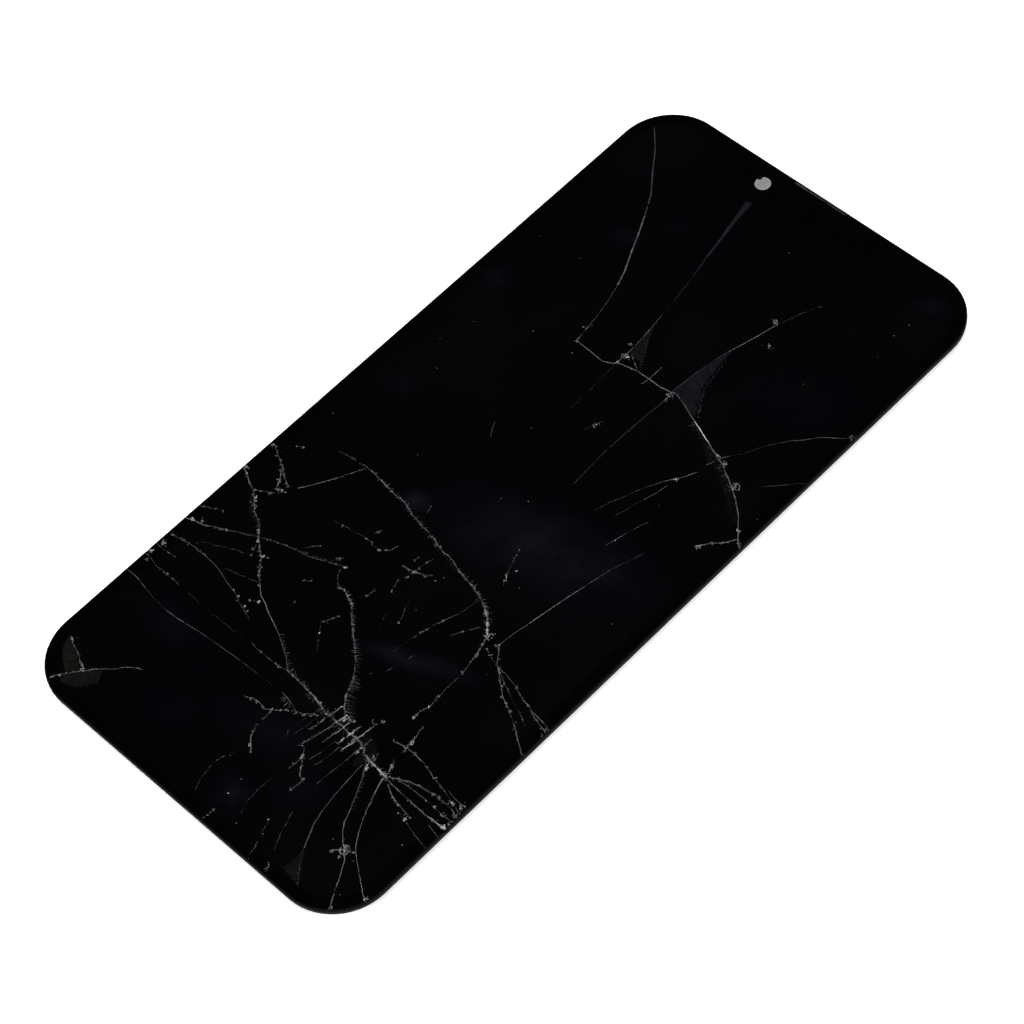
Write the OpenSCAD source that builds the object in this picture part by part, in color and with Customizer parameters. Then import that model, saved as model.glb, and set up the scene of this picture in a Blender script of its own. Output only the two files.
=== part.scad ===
// A loose phone screen module with a shattered cover glass, lying on its back.
// +X is right and +Y is up, as the screen is read; +Z comes out of the glass.
// The origin is on the surface it lies on, under the middle of the glass.

/* [Cover glass] */
// Width of the glass
glass_w = 69.4; // [68:0.1:72]
// Length of the glass
glass_l = 144; // [142:0.5:148]
// Thickness of the glass
glass_t = 0.65; // [0.55:0.05:0.8]
// Radius of the glass corners
corner_r = 9.8; // [9:0.1:11]
// Radius of the rounded upper edge
edge_r = 0.3; // [0.1:0.05:0.35]
// Width of a hairline crack
crack_w = 0.12; // [0.08:0.01:0.2]
// Depth of a crack, less than the glass so that the sheet stays one piece
crack_depth = 0.45; // [0.2:0.05:0.5]

/* [Frame] */
// Overall height of the module
height = 2.3; // [2.2:0.05:2.6]
// Thickness of the frame's rim
rim_t = 0.35; // [0.3:0.05:0.4]
// Width of the rim
rim_w = 1.85; // [1.6:0.05:1.85]
// Thickness of the leg under the rim
leg_t = 0.8; // [0.6:0.05:0.8]
// Thickness of the glue between rim and glass
glue_t = 0.05; // [0.04:0.01:0.06]

/* [Display layers] */
// Gap from the glass edge to the display layers
layer_inset = 2.05; // [2.05:0.05:2.4]
// Half width of the sensor notch
notch_half = 13.5; // [12:0.5:16]
// Depth of the notch below the glass's top edge
notch_depth = 8; // [7.5:0.5:9]

/* [Camera window and fittings] */
// Place of the camera window
camera = [-9.8, 68.05];
// Radius of the hole behind the camera window
camera_hole_r = 1.65; // [1.5:0.05:1.7]
// Radius of the pip that reaches into the camera hole
pip_r = 0.5; // [0.4:0.05:0.6]
// Distance between the two threaded posts
post_spacing = 21; // [18:0.5:22]
// Radius of the tapped hole in a post
post_bore_r = 0.5; // [0.4:0.05:0.6]
// Distance between the two nuts at the lower edge
nut_spacing = 11; // [8:0.5:14]
// Radius of the tapped hole in a nut
nut_bore_r = 0.4; // [0.3:0.05:0.4]

/* [Hidden] */
$fn = 64;

// Levels, from the glass down
glass_z = height - glass_t;
rim_top = glass_z - glue_t;
rim_z = rim_top - rim_t;
// How far the frame stands back from the glass edge
frame_inset = 0.05;
rim_inner = frame_inset + rim_w;
leg_outer = rim_inner - leg_t;

// Thickness of each display layer, from the glass down
optical_t = 0.10;
polariser_t = 0.10;
touch_t = 0.08;
panel_t = 0.20;
foam_t = 0.14;
copper_t = 0.08;
backing_t = 0.05;
optical_z = glass_z - optical_t;
polariser_z = optical_z - polariser_t;
touch_z = polariser_z - touch_t;
panel_z = touch_z - panel_t;
foam_z = panel_z - foam_t;
copper_z = foam_z - copper_t;
backing_z = copper_z - backing_t;

// The panel's film and its bend
tail_t = 0.08;
tail_half = 17;
tail_z = backing_z - tail_t;
half_l = glass_l / 2;
half_w = glass_w / 2;
stack_low = -half_l + 2.3;
panel_low = -half_l + 2.9;
back_low = -half_l + 3.2;
tail_end = -half_l + 7.4;
chip_t = 0.25;
flex_t = 0.12;
flex_z = tail_z - flex_t;
touch_flex_t = 0.10;
touch_flex_z = tail_z - touch_flex_t;
connector_t = 0.55;

// The relief for the earpiece in the top edge
ear_left = -6;
ear_right = 5;
ear_depth = 0.6;

// Bracket behind the notch
bracket_half = 13;
bracket_low = half_l - 7.6;
bracket_high = half_l - 2;
bracket_z = 0.55;
bracket_plate_t = 0.3;

// Routes of the cracks, as [width factor, points]. A factor above 1 is a crushed or open crack.
cracks = [
    // Top left: the long arc, and the short floor it ends on
    [1.3, [[-31.5, 65.7], [-28.5, 62.7], [-25.2, 58.5], [-22.3, 55], [-20, 51], [-18.2, 47.5], [-16.5, 44],
           [-14.8, 40.7], [-13.7, 37.8], [-12.8, 34.8], [-11.7, 29], [-11.2, 25.7]]],
    [1.3, [[-11.2, 25.7], [-8.5, 25.6], [-5.3, 25.4], [-3.3, 26.6], [-1, 27.2], [2.7, 27.5], [7, 27.8]]],
    // From the camera down
    [2.2, [[-9.1, 63.6], [-8.5, 61], [-7.5, 56], [-6.5, 51], [-5.6, 47], [-4.8, 42], [-4.2, 38], [-3.4, 31.5],
           [-3.3, 28.5], [-3.4, 26.3]]],
    [0.8, [[-3.3, 26], [-3, 20], [-2.8, 15.5]]],
    [1, [[2.7, 30.5], [2.7, 27.5], [2.4, 26]]],
    // Right of it: the stem of the fan, and its faint run downwards
    [1, [[13.9, 55.3], [12.5, 52], [11, 48], [10.3, 45], [9.5, 42], [8.6, 39], [8, 36], [7.5, 32.5], [7.1, 28]]],
    [0.8, [[7, 28], [7.4, 26.3], [7.1, 22], [6.9, 17], [6.9, 12], [7.3, 5.5]]],
    // The main arc out to the right edge
    [1.8, [[7, 27.9], [10.5, 27.3], [13.5, 26.1], [16, 25.2], [19, 24], [21, 23.4], [22.6, 22.6], [25, 21.3],
           [28, 19.4], [30.3, 17.5], [32, 15.6], [33.2, 14.2], [34.9, 12.8]]],
    [1, [[22.2, 24.8], [21.2, 23.3], [20.5, 21.3]]],
    [1, [[20.3, 19.3], [19.3, 17.3], [17.3, 14.5], [16, 12.3], [15.2, 10.5], [14.7, 8.8], [13.8, 6.5], [13, 4]]],
    [0.8, [[18.5, 14.8], [18.2, 12.8], [17, 8.8], [16, 5]]],
    [0.8, [[21.6, 10], [20.8, 8], [19.3, 3], [18.5, -0.5]]],
    [1.2, [[33.2, 14.2], [32, 12.3], [30.5, 11], [29.3, 9.2]]],
    [0.8, [[22.2, 24.8], [23.5, 26.5], [24.7, 29], [27.5, 32.9], [30.3, 36], [33, 38], [34.9, 39.8]]],
    [0.8, [[29.5, 23.5], [31.5, 25.5], [34.6, 28.5]]],
    // Middle: the arc that bows to the right, and the dotted one that meets it
    [1, [[24.2, 3.5], [23.2, 0.5], [22.3, -2], [20.9, -8], [19.6, -14], [19.1, -17], [18.7, -19.5], [18.6, -22.3]]],
    [1.4, [[-25, -13.4], [-22.8, -13], [-18.5, -12.7], [-15, -13.2], [-10, -13.6], [-8, -14.4], [-3.5, -15.1],
           [0, -16], [4.5, -16.9], [9, -17.7], [12.3, -19], [15.2, -21.3], [16.2, -22.5]]],
    [1, [[-19.5, -13], [-20.5, -15], [-22, -17.8], [-25, -22.5]]],
    // Left edge
    [1, [[-34.9, -19.3], [-33.5, -19.2], [-31.7, -20.2], [-28, -22.4], [-26.2, -23.3]]],
    [1, [[-30, -21], [-28.2, -23.3], [-27.5, -24.5]]],
    [1, [[-27.2, -25.4], [-28.6, -26.3], [-30, -27.1]]],
    // The main diagonal, from the left edge to the lower hub
    [1.8, [[-34.9, -24.6], [-33, -25.8], [-30, -27.2], [-28.5, -28.3], [-27, -29.8], [-25.3, -30.5], [-22.5, -33.1],
           [-20, -34.9], [-17.8, -37.5], [-15, -39.7], [-12, -41], [-8, -42.6], [-4, -44.8], [-2.6, -46], [0, -46.3],
           [4.5, -46.8], [7, -47.4], [15, -47.6], [17, -48.7], [21.8, -49.3]]],
    [1.2, [[-34.9, -37.6], [-31.5, -36.7], [-28, -35], [-24, -33.1], [-21, -31.7], [-17, -30.5], [-12.8, -29.4],
           [-8.5, -27.6]]],
    [1, [[-9.2, -28.2], [-8.7, -29.5], [-7, -31.2]]],
    [1.2, [[-7, -30.9], [-4.7, -31.2], [-2.3, -32.7], [0, -34.8], [3, -37.2], [5.3, -39.5], [7, -42.5], [9, -45.3],
           [10.3, -46.3]]],
    [0.8, [[-34.9, -34.7], [-33.5, -34.2], [-31, -33]]],
    [1, [[-34.9, -41.3], [-31.5, -40.5], [-27, -40.3], [-23.5, -40.6], [-20, -42], [-16.5, -42.7], [-13.3, -43.8]]],
    [0.8, [[-34.9, -43.6], [-30.2, -43.5]]],
    [0.8, [[-34.9, -46], [-31.5, -46.5], [-26, -46.5], [-18, -46.7], [-11, -46.7]]],
    [1, [[-10.3, -45.9], [-9.6, -46.5], [-5, -46.6], [-2.6, -46.3]]],
    [1, [[-34.9, -49.8], [-30.5, -50.1], [-27, -50.8], [-22, -50.8], [-17.5, -50.1], [-12, -49.8], [-6, -49.5],
           [-1.5, -49.8]]],
    [0.8, [[-29.5, -39], [-26.5, -37.7], [-21.5, -35.6]]],
    [0.8, [[-23, -39.9], [-20.5, -39.3], [-17, -38.3]]],
    [0.8, [[-3.2, -34.5], [-4.6, -36.8], [-3.3, -38.8], [-1.5, -41]]],
    [0.8, [[-16.2, -23], [-10, -22], [-6.7, -22.2], [-5.2, -19.5]]],
    [0.8, [[0.4, -18], [0, -19.5], [-0.3, -22.5], [-1, -25.5], [-0.3, -26.3]]],
    [0.8, [[2.9, -25.8], [4.6, -29.7]]],
    // Below the middle hub
    [1, [[10.9, -18.7], [10.3, -22.3], [9.3, -25], [8.2, -28.8], [7.5, -33.5]]],
    [0.8, [[14.4, -22], [12, -26]]],
    [1.2, [[16.2, -22.5], [17.2, -25.5], [17.8, -28.7], [18, -32.5], [18.3, -36.8], [17.7, -38.3], [17.8, -39.6]]],
    // The fan from the middle hub to the right edge
    [1.2, [[18.6, -22.3], [20.8, -25], [23.8, -27.3], [27.5, -29.5], [31.5, -31.9], [34.9, -34]]],
    [1, [[17.8, -24.2], [21, -25.3], [25.5, -26], [30.5, -27.5], [34.9, -28.1]]],
    [0.8, [[21.5, -25.5], [27, -28], [31.3, -30]]],
    // Between the hubs
    [1.2, [[20, -40], [20.5, -43.5], [20.8, -44.8], [21.5, -48.5]]],
    [1, [[18.3, -44.3], [20.5, -43.8], [24.5, -44], [30, -45.3], [34.9, -46.5]]],
    // The fan from the lower hub to the right edge
    [1.2, [[21.8, -49.2], [25, -47.5], [29, -46.7], [34.9, -47.2]]],
    [1, [[24, -48.3], [27, -48.1], [30, -48.1], [34.9, -48.1]]],
    [1.4, [[22, -49.4], [25, -49.6], [29, -49.8], [34.9, -49.6]]],
    [1, [[23, -50], [26.7, -51.3], [31.5, -53.1], [34.9, -53.8]]],
    // Down to the lower edge
    [1.2, [[21.6, -49.5], [22.6, -52.5], [24.3, -56.5], [26.8, -60.3], [30, -62.7], [34, -65.3]]],
    [1.2, [[18.5, -50.3], [20.5, -54], [22.5, -58.3], [25, -61], [26.8, -62.5], [29.2, -66.5], [31, -70]]],
    [1, [[17.7, -50], [18.2, -56], [19.3, -61.3], [21.3, -65.5], [25, -70.2]]],
    [1, [[15.4, -48.5], [15.3, -52], [14.9, -57]]],
    // Short ticks across the main diagonal
    [1, [[8.5, -45], [7.9, -48.5], [7.6, -50.8]]],
    [1, [[10, -46.5], [9, -51], [8.4, -53.5]]],
    [1, [[11.2, -46.8], [10.5, -51.2]]],
    [1, [[12.9, -46], [12.4, -49.5]]],
    [1, [[14.4, -44], [13.7, -50.2]]],
    // Lower middle
    [1.2, [[8.4, -53.5], [10, -54.8], [12, -57.3], [12.9, -57.4], [12.7, -59.8]]],
    [1, [[-4, -53.3], [0, -52.9], [1, -53.5], [1, -55.8], [2.7, -58.6], [3.6, -59.1]]],
    [0.8, [[2, -60.5], [0.8, -65], [2.1, -69.2]]],
    [0.8, [[9.2, -60], [9, -62.5], [10.1, -67.3]]],
    [0.8, [[13.8, -65], [15.3, -69], [16.6, -72.2]]],
    // Bottom left corner
    [1.2, [[-32, -63.5], [-29, -64.7], [-26.2, -66]]],
    [1.2, [[-19.2, -60.3], [-21, -61.3], [-24, -64.3], [-26.2, -66.7], [-28.8, -70.1]]]
];

// Shell-shaped chips in the upper edge of the glass, as [x, y, radius]
chips = [[34.7, -49.6, 0.5], [34.7, -28.2, 0.35], [34.7, 39.7, 0.35], [-34.7, -45.4, 0.5], [-34.7, -24.7, 0.4]];

// ---- Outlines

// A rectangle with round corners, as a sum of exact shapes
module rounded(w, l, r) {
    square([w - 2 * r, l], center = true);
    square([w, l - 2 * r], center = true);
    for (x = [-1, 1], y = [-1, 1]) translate([x * (w / 2 - r), y * (l / 2 - r)]) circle(r);
}

// The outline of the glass, drawn in by a gap
module inset_outline(gap) {
    rounded(glass_w - 2 * gap, glass_l - 2 * gap, corner_r - gap);
}

// The outline of a display layer: round corners, a notch at the top and a straight lower end
module layer_outline(gap, low) {
    difference() {
        inset_outline(gap);
        translate([-notch_half, half_l - notch_depth]) square([2 * notch_half, notch_depth]);
        translate([-half_w, -half_l]) square([glass_w, half_l + low]);
    }
}

// A flat sheet of the display, from level z
module layer(z, t, gap, low) {
    translate([0, 0, z]) linear_extrude(t) layer_outline(gap, low);
}

// A box by its lowest corner and size
module block(x, y, z, w, l, t) {
    translate([x, y, z]) cube([w, l, t]);
}

// ---- Cracks

function unit(v) = v / norm(v);
// Direction of the route at point i, the mean of the two stretches that meet there
function along(p, i) = unit(
    (i > 0 ? unit(p[i] - p[i - 1]) : [0, 0]) + (i < len(p) - 1 ? unit(p[i + 1] - p[i]) : [0, 0]));
function across(p, i) = let (d = along(p, i)) [-d[1], d[0]];
// Half the width at point i: a crack thins out towards its tips
function half_at(p, i, w) = (i == 0 || i == len(p) - 1) ? w / 4 : w / 2;
function bank(p, w, s) = [for (i = [0 : len(p) - 1]) p[i] + s * half_at(p, i, w) * across(p, i)];
function turned(p) = [for (i = [len(p) - 1 : -1 : 0]) p[i]];

// One crack seen from above: a ribbon along its route
module crack(route, w) {
    polygon(concat(bank(route, w, 1), turned(bank(route, w, -1))));
}

// ---- Glass

edge_w = 0.4;

// Section of the glass edge, rounded at the top
module edge_section() {
    square([edge_w, glass_t - edge_r]);
    square([edge_w - edge_r, glass_t]);
    translate([edge_w - edge_r, glass_t - edge_r]) circle(edge_r);
}

// The plate: its middle, four straight edges and four turned corners
module glass_plate() {
    linear_extrude(glass_t) inset_outline(edge_w);
    for (s = [0, 180]) {
        rotate([0, 0, s]) translate([half_w - edge_w, half_l - corner_r, 0])
            rotate([90, 0, 0]) linear_extrude(glass_l - 2 * corner_r) edge_section();
        rotate([0, 0, s + 90]) translate([half_l - edge_w, half_w - corner_r, 0])
            rotate([90, 0, 0]) linear_extrude(glass_w - 2 * corner_r) edge_section();
    }
    for (c = [[1, 1, 0], [-1, 1, 90], [-1, -1, 180], [1, -1, 270]])
        translate([c[0] * (half_w - corner_r), c[1] * (half_l - corner_r), 0]) rotate([0, 0, c[2]])
            rotate_extrude(angle = 90) translate([corner_r - edge_w, 0]) edge_section();
}

// The cracks are cut first, then the relief and the chips
module cover_glass() {
    color([0.03, 0.03, 0.04]) difference() {
        difference() {
            translate([0, 0, glass_z]) glass_plate();
            translate([0, 0, height - crack_depth]) linear_extrude(1) {
                for (c = cracks) crack(c[1], crack_w * c[0]);
            }
        }
        block(ear_left, half_l - ear_depth, glass_z - 1, ear_right - ear_left, 2 * ear_depth, 3);
        for (c = chips) translate([c[0], c[1], height + c[2] / 3]) sphere(c[2]);
    }
}

// ---- Frame and what is set in it

// Room for a nut in the lower leg, and the height of its tapped hole
nut_w = 3.2;
nut_bore_z = rim_z / 2 + 0.025;

module bezel_frame() {
    color([0.10, 0.10, 0.11]) difference() {
        union() {
            translate([0, 0, rim_z]) linear_extrude(rim_t) difference() {
                inset_outline(frame_inset);
                inset_outline(rim_inner);
            }
            linear_extrude(rim_z) difference() {
                inset_outline(leg_outer);
                inset_outline(rim_inner);
            }
        }
        for (s = [-1, 1]) block(s * nut_spacing / 2 - nut_w / 2, -half_l, -1, nut_w, 3, 1 + rim_z);
    }
}

module frame_adhesive() {
    color([0.25, 0.25, 0.24]) translate([0, 0, rim_top]) linear_extrude(glue_t) difference() {
        inset_outline(frame_inset + 0.15);
        inset_outline(rim_inner - 0.1);
    }
}

module bottom_nuts() {
    color([0.72, 0.73, 0.75])
        for (s = [-1, 1]) difference() {
            block(s * nut_spacing / 2 - nut_w / 2, -half_l + leg_outer, 0.05, nut_w, leg_t, rim_z - 0.05);
            translate([s * nut_spacing / 2, -half_l, nut_bore_z]) rotate([-90, 0, 0]) cylinder(h = 3, r = nut_bore_r);
        }
}

// Strip of mesh in the relief of the glass
mesh_t = 0.15;
mesh_w = 0.4;
mesh_hole_r = 0.12;
mesh_pitch = 0.45;

module earpiece_mesh() {
    length = ear_right - ear_left - 0.2;
    color([0.35, 0.35, 0.36]) difference() {
        block(ear_left + 0.1, half_l - ear_depth + 0.05, glass_z, length, mesh_w, mesh_t);
        for (x = [ear_left + 0.5 : mesh_pitch : ear_right - 0.4])
            translate([x, half_l - ear_depth + 0.05 + mesh_w / 2, glass_z - 1]) cylinder(h = 2, r = mesh_hole_r);
    }
}

// ---- Display layers

module optical_adhesive() {
    color([0.85, 0.88, 0.9, 0.5]) layer(optical_z, optical_t, layer_inset, stack_low);
}

module polariser() {
    color([0.08, 0.09, 0.12]) layer(polariser_z, polariser_t, layer_inset, stack_low);
}

module touch_film() {
    color([0.35, 0.38, 0.40]) layer(touch_z, touch_t, layer_inset, stack_low);
}

module oled_panel() {
    color([0.05, 0.05, 0.08]) layer(panel_z, panel_t, layer_inset + 0.05, panel_low);
}

module cushion_foam() {
    color([0.12, 0.12, 0.12]) layer(foam_z, foam_t, layer_inset + 0.25, back_low);
}

module heat_spreader() {
    color([0.78, 0.48, 0.30]) layer(copper_z, copper_t, layer_inset + 0.25, back_low);
}

module backing_film() {
    color([0.07, 0.07, 0.07]) difference() {
        layer(backing_z, backing_t, layer_inset + 0.4, back_low);
        block(-28, 30, 0, 14, 9, 2);
        block(14, 30, 0, 14, 9, 2);
    }
}

module graphite_pad() {
    color([0.23, 0.23, 0.25]) translate([0, 2, backing_z - 0.05]) linear_extrude(0.05) rounded(54, 46, 2);
}

module ground_foil() {
    color([0.80, 0.62, 0.35])
        for (x = [-28, 22]) translate([x, -31, backing_z - 0.04]) linear_extrude(0.04) difference() {
            square([6, 8]);
            for (y = [2, 6]) translate([3, y]) circle(0.7);
        }
}

// ---- The panel's film and the flexes

// Half ring that carries a film of thickness t round from level high to level low, along X
module film_bend(x, w, y, high, low, t) {
    middle = (high + low) / 2;
    outer = (high - low) / 2;
    translate([x, y, middle]) rotate([90, 0, 90]) linear_extrude(w) difference() {
        circle(outer);
        circle(outer - t);
        translate([0, -2]) square([4, 4]);
    }
}

module panel_tail() {
    color([0.62, 0.42, 0.16]) {
        film_bend(-tail_half, 2 * tail_half, panel_low, panel_z + tail_t, tail_z, tail_t);
        block(-tail_half, panel_low, tail_z, 2 * tail_half, tail_end - panel_low, tail_t);
    }
}

module driver_chip() {
    color([0.15, 0.15, 0.17]) block(-13, panel_low + 1.4, tail_z - chip_t, 26, 1.3, chip_t);
}

module chip_cover() {
    color([0.09, 0.09, 0.09]) block(-16, panel_low + 0.9, tail_z - chip_t - 0.05, 32, 2.3, 0.05);
}

// The display flex: a wide board over the tail's end, and an arm up to its connector
flex_low = tail_end - 1.4;
flex_high = -half_l + 19.5;
arm_high = -half_l + 42;

module display_flex_outline() {
    translate([-22, flex_low]) square([39, flex_high - flex_low]);
    translate([-20, flex_high - 2]) square([9, arm_high - flex_high - 4]);
    translate([-15.5, arm_high - 4.5]) rounded(17, 7, 1);
}

module display_flex() {
    color([0.10, 0.11, 0.10]) translate([0, 0, flex_z]) linear_extrude(flex_t) difference() {
        display_flex_outline();
        for (x = [-19, 14]) translate([x, flex_high - 3]) circle(0.8);
    }
}

module display_flex_tape() {
    color([0.75, 0.72, 0.62]) translate([0, 0, tail_z]) linear_extrude(tail_t) {
        translate([-21, tail_end + 0.2]) square([37, flex_high - tail_end - 5]);
        translate([-19, flex_high]) square([7, arm_high - flex_high - 9]);
    }
}

module display_stiffener() {
    color([0.70, 0.71, 0.72]) translate([-15.5, arm_high - 4.5, tail_z]) linear_extrude(tail_t) rounded(15, 5, 0.6);
}

// A board-to-board plug, hanging from level top, with its row of contacts as ribs on each side
module plug(x, y, top, w, l) {
    difference() {
        block(x - w / 2, y - l / 2, top - connector_t, w, l, connector_t);
        block(x - w / 2 + 0.6, y - l / 2 + 0.7, top - connector_t - 1, w - 1.2, l - 1.4, 1.3);
        for (i = [-w / 2 + 0.9 : 0.7 : w / 2 - 0.9], s = [-1, 1])
            block(x + i - 0.12, y + s * l / 2 - 0.15, top - connector_t - 1, 0.24, 0.3, 1.3);
    }
}

module display_connector() {
    color([0.13, 0.13, 0.13]) plug(-15.5, arm_high - 4.5, flex_z, 13, 2.8);
}

// Small chips on the display flex, as [x, y, width, length, thickness]
parts_on_flex = [[-12, 12, 1, 0.5, 0.35], [-10, 12, 1, 0.5, 0.35], [-8, 12, 1, 0.5, 0.35], [-6, 12, 1, 0.5, 0.35],
                 [8, 11, 0.6, 1, 0.35], [10, 11, 0.6, 1, 0.35], [12, 11, 0.6, 1, 0.35], [14, 11, 0.6, 1, 0.35],
                 [-2, 10, 4, 4, 0.45], [4, 10, 2, 3, 0.4], [-17, 15, 1.2, 2, 0.4]];

module flex_components() {
    color([0.55, 0.50, 0.42]) for (p = parts_on_flex) block(p[0], -half_l + p[1], flex_z - p[4], p[2], p[3], p[4]);
}

// The touch flex leaves the lower right of the touch film, bends round and turns in to its connector
touch_x = 18.6;
touch_w = 5.6;
touch_bend_y = -half_l + 2.55;
touch_turn = -half_l + 26;

module touch_flex() {
    color([0.60, 0.38, 0.12]) {
        film_bend(touch_x, touch_w, touch_bend_y, touch_z, touch_flex_z, touch_flex_t);
        block(touch_x, touch_bend_y, touch_z - touch_flex_t, touch_w, 0.3, touch_flex_t);
        translate([0, 0, touch_flex_z]) linear_extrude(touch_flex_t) {
            translate([touch_x, touch_bend_y]) square([touch_w, touch_turn - touch_bend_y]);
            translate([5, touch_turn - 6]) square([touch_w + touch_x - 5, 6]);
        }
    }
}

module touch_flex_tape() {
    color([0.75, 0.72, 0.62]) block(touch_x + 0.5, -half_l + 5, tail_z, touch_w - 1, 14, tail_t);
}

module touch_stiffener() {
    color([0.70, 0.71, 0.72]) block(5.5, touch_turn - 5.5, tail_z, 9, 5, tail_t);
}

module touch_connector() {
    color([0.13, 0.13, 0.13]) plug(10, touch_turn - 3, touch_flex_z, 7.4, 2.8);
}

// ---- Behind the notch

// Sensor holes to the right of the earpiece, as [x, radius]
sensor_holes = [[7.4, 0.9], [10.6, 0.7]];

module sensor_bracket() {
    color([0.06, 0.06, 0.07]) difference() {
        block(-bracket_half, bracket_low, bracket_z,
              2 * bracket_half, bracket_high - bracket_low, glass_z - bracket_z);
        // Thinned round the camera, so that a slanted view still passes
        block(-bracket_half - 1, bracket_low + 0.6, bracket_z - 1, 7, 9, glass_z - bracket_plate_t - bracket_z + 1);
        translate([0, 0, -1]) linear_extrude(5) difference() {
            translate(camera) circle(camera_hole_r);
            translate(camera + [-1.25, 1.15]) circle(pip_r);
        }
        block(ear_left + 1, bracket_low + 1, -1, ear_right - ear_left - 2, 3.4, 5);
        for (s = sensor_holes) translate([s[0], bracket_low + 2.8, -1]) cylinder(h = 5, r = s[1]);
    }
}

module earpiece_gasket() {
    color([0.16, 0.16, 0.16]) translate([-0.5, bracket_low + 2.7, bracket_z - 0.35]) linear_extrude(0.35) difference() {
        rounded(10.6, 5, 1);
        rounded(9, 3.4, 0.5);
    }
}

module camera_gasket() {
    color([0.16, 0.16, 0.16]) translate([sensor_holes[0][0], bracket_low + 2.8, bracket_z - 0.3])
        linear_extrude(0.3) difference() {
            circle(1.6);
            circle(0.95);
        }
}

// Steel plate under the notch and the two threaded posts on it
plate_t = 0.15;
plate_y = half_l - 11;

module mount_plate() {
    color([0.68, 0.69, 0.70]) translate([0, plate_y, backing_z - plate_t]) linear_extrude(plate_t) rounded(26, 4, 1);
}

module mount_posts() {
    color([0.80, 0.68, 0.40])
        for (s = [-1, 1]) translate([s * post_spacing / 2, plate_y, 0.1]) difference() {
            cylinder(h = backing_z - plate_t - 0.1, r = 1);
            translate([0, 0, -1]) cylinder(h = 3, r = post_bore_r);
        }
}

// Spring clips along one side, glued to the backing film
clip_l = 4;
clip_t = 0.15;

module clips(side) {
    color([0.74, 0.75, 0.77])
        for (y = [-36, -12, 12, 36]) {
            translate([0, y + clip_l / 2, 0]) rotate([90, 0, 0]) linear_extrude(clip_l) scale([side, 1])
                translate([half_w - rim_inner, 0]) {
                    translate([-clip_t, 0.1]) square([clip_t, backing_z - 0.1]);
                    translate([-3.2, backing_z - clip_t]) square([3.2, clip_t]);
                    translate([-0.45, 0.1]) square([0.45, clip_t]);
                }
        }
}

module side_clips_left() {
    clips(-1);
}

module side_clips_right() {
    clips(1);
}

cover_glass();
bezel_frame();
earpiece_mesh();
sensor_bracket();
frame_adhesive();
optical_adhesive();
polariser();
touch_film();
oled_panel();
cushion_foam();
heat_spreader();
backing_film();
graphite_pad();
ground_foil();
panel_tail();
driver_chip();
chip_cover();
display_flex();
display_flex_tape();
display_stiffener();
display_connector();
flex_components();
touch_flex();
touch_flex_tape();
touch_stiffener();
touch_connector();
camera_gasket();
earpiece_gasket();
mount_plate();
mount_posts();
side_clips_left();
side_clips_right();
bottom_nuts();
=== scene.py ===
# %% [markdown]
# # A phone screen with a shattered glass
#
# The object is a loose display module: one sheet of black-bordered cover glass on a plastic frame, with
# the layers of the display under it and its flexes folded behind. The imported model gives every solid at
# its real size and place. This lesson dresses those solids and adds what a hairline groove can't show:
# the bright faces of the cracks, the crushed glass in them, the fans of fine ridges beside them, dust,
# prints and the printed border.

# %% The frame, and the units
import math
import random

import bmesh
import bpy
from mathutils import Matrix, Vector, noise


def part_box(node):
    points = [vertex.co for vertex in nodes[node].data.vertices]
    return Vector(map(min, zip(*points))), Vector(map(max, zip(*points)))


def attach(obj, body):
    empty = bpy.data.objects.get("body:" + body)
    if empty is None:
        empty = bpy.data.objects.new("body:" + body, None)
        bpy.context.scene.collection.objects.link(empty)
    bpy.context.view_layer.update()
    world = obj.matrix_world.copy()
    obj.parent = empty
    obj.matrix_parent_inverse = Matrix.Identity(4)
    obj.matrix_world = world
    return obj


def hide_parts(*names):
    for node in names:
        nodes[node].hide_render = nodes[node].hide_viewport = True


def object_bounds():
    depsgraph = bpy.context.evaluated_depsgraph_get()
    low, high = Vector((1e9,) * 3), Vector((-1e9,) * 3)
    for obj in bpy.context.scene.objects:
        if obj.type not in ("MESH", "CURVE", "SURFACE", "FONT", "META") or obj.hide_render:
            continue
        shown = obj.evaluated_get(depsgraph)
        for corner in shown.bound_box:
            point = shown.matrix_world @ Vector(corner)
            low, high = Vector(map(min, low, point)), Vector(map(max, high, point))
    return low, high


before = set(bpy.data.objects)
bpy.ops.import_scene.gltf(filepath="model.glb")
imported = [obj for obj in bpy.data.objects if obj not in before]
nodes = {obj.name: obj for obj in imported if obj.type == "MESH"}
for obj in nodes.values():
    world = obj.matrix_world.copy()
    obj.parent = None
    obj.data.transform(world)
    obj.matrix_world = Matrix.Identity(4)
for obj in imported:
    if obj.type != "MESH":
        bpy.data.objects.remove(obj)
cad_low, cad_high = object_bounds()
MM = 0.001
TOP = cad_high.z
print("CAD box in mm:", [round(v / MM, 2) for v in (*cad_low, *cad_high)])

# %% [markdown]
# ## The camera
#
# A long lens from well above, from the lower right corner of the screen. The place it looks at, its
# direction and distance are set first, and the picture is then rolled about the line of sight.

# %% Camera
LENS_MM, SENSOR_MM = 112.69, 36.0
AIM = Vector((3.64, -4.21, 2.3)) * MM
DISTANCE = 487.2 * MM
AZIMUTH, ELEVATION, ROLL = 53.257, 55.442, -10.977


def direction(azimuth, elevation):
    """The unit vector from the object to a place at this azimuth and elevation, in degrees."""
    a, e = math.radians(azimuth), math.radians(elevation)
    return Vector((math.sin(a) * math.cos(e), -math.cos(a) * math.cos(e), math.sin(e)))


def placed(name, data):
    """Puts new data in the scene as an object."""
    made = bpy.data.objects.new(name, data)
    bpy.context.scene.collection.objects.link(made)
    return made


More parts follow.
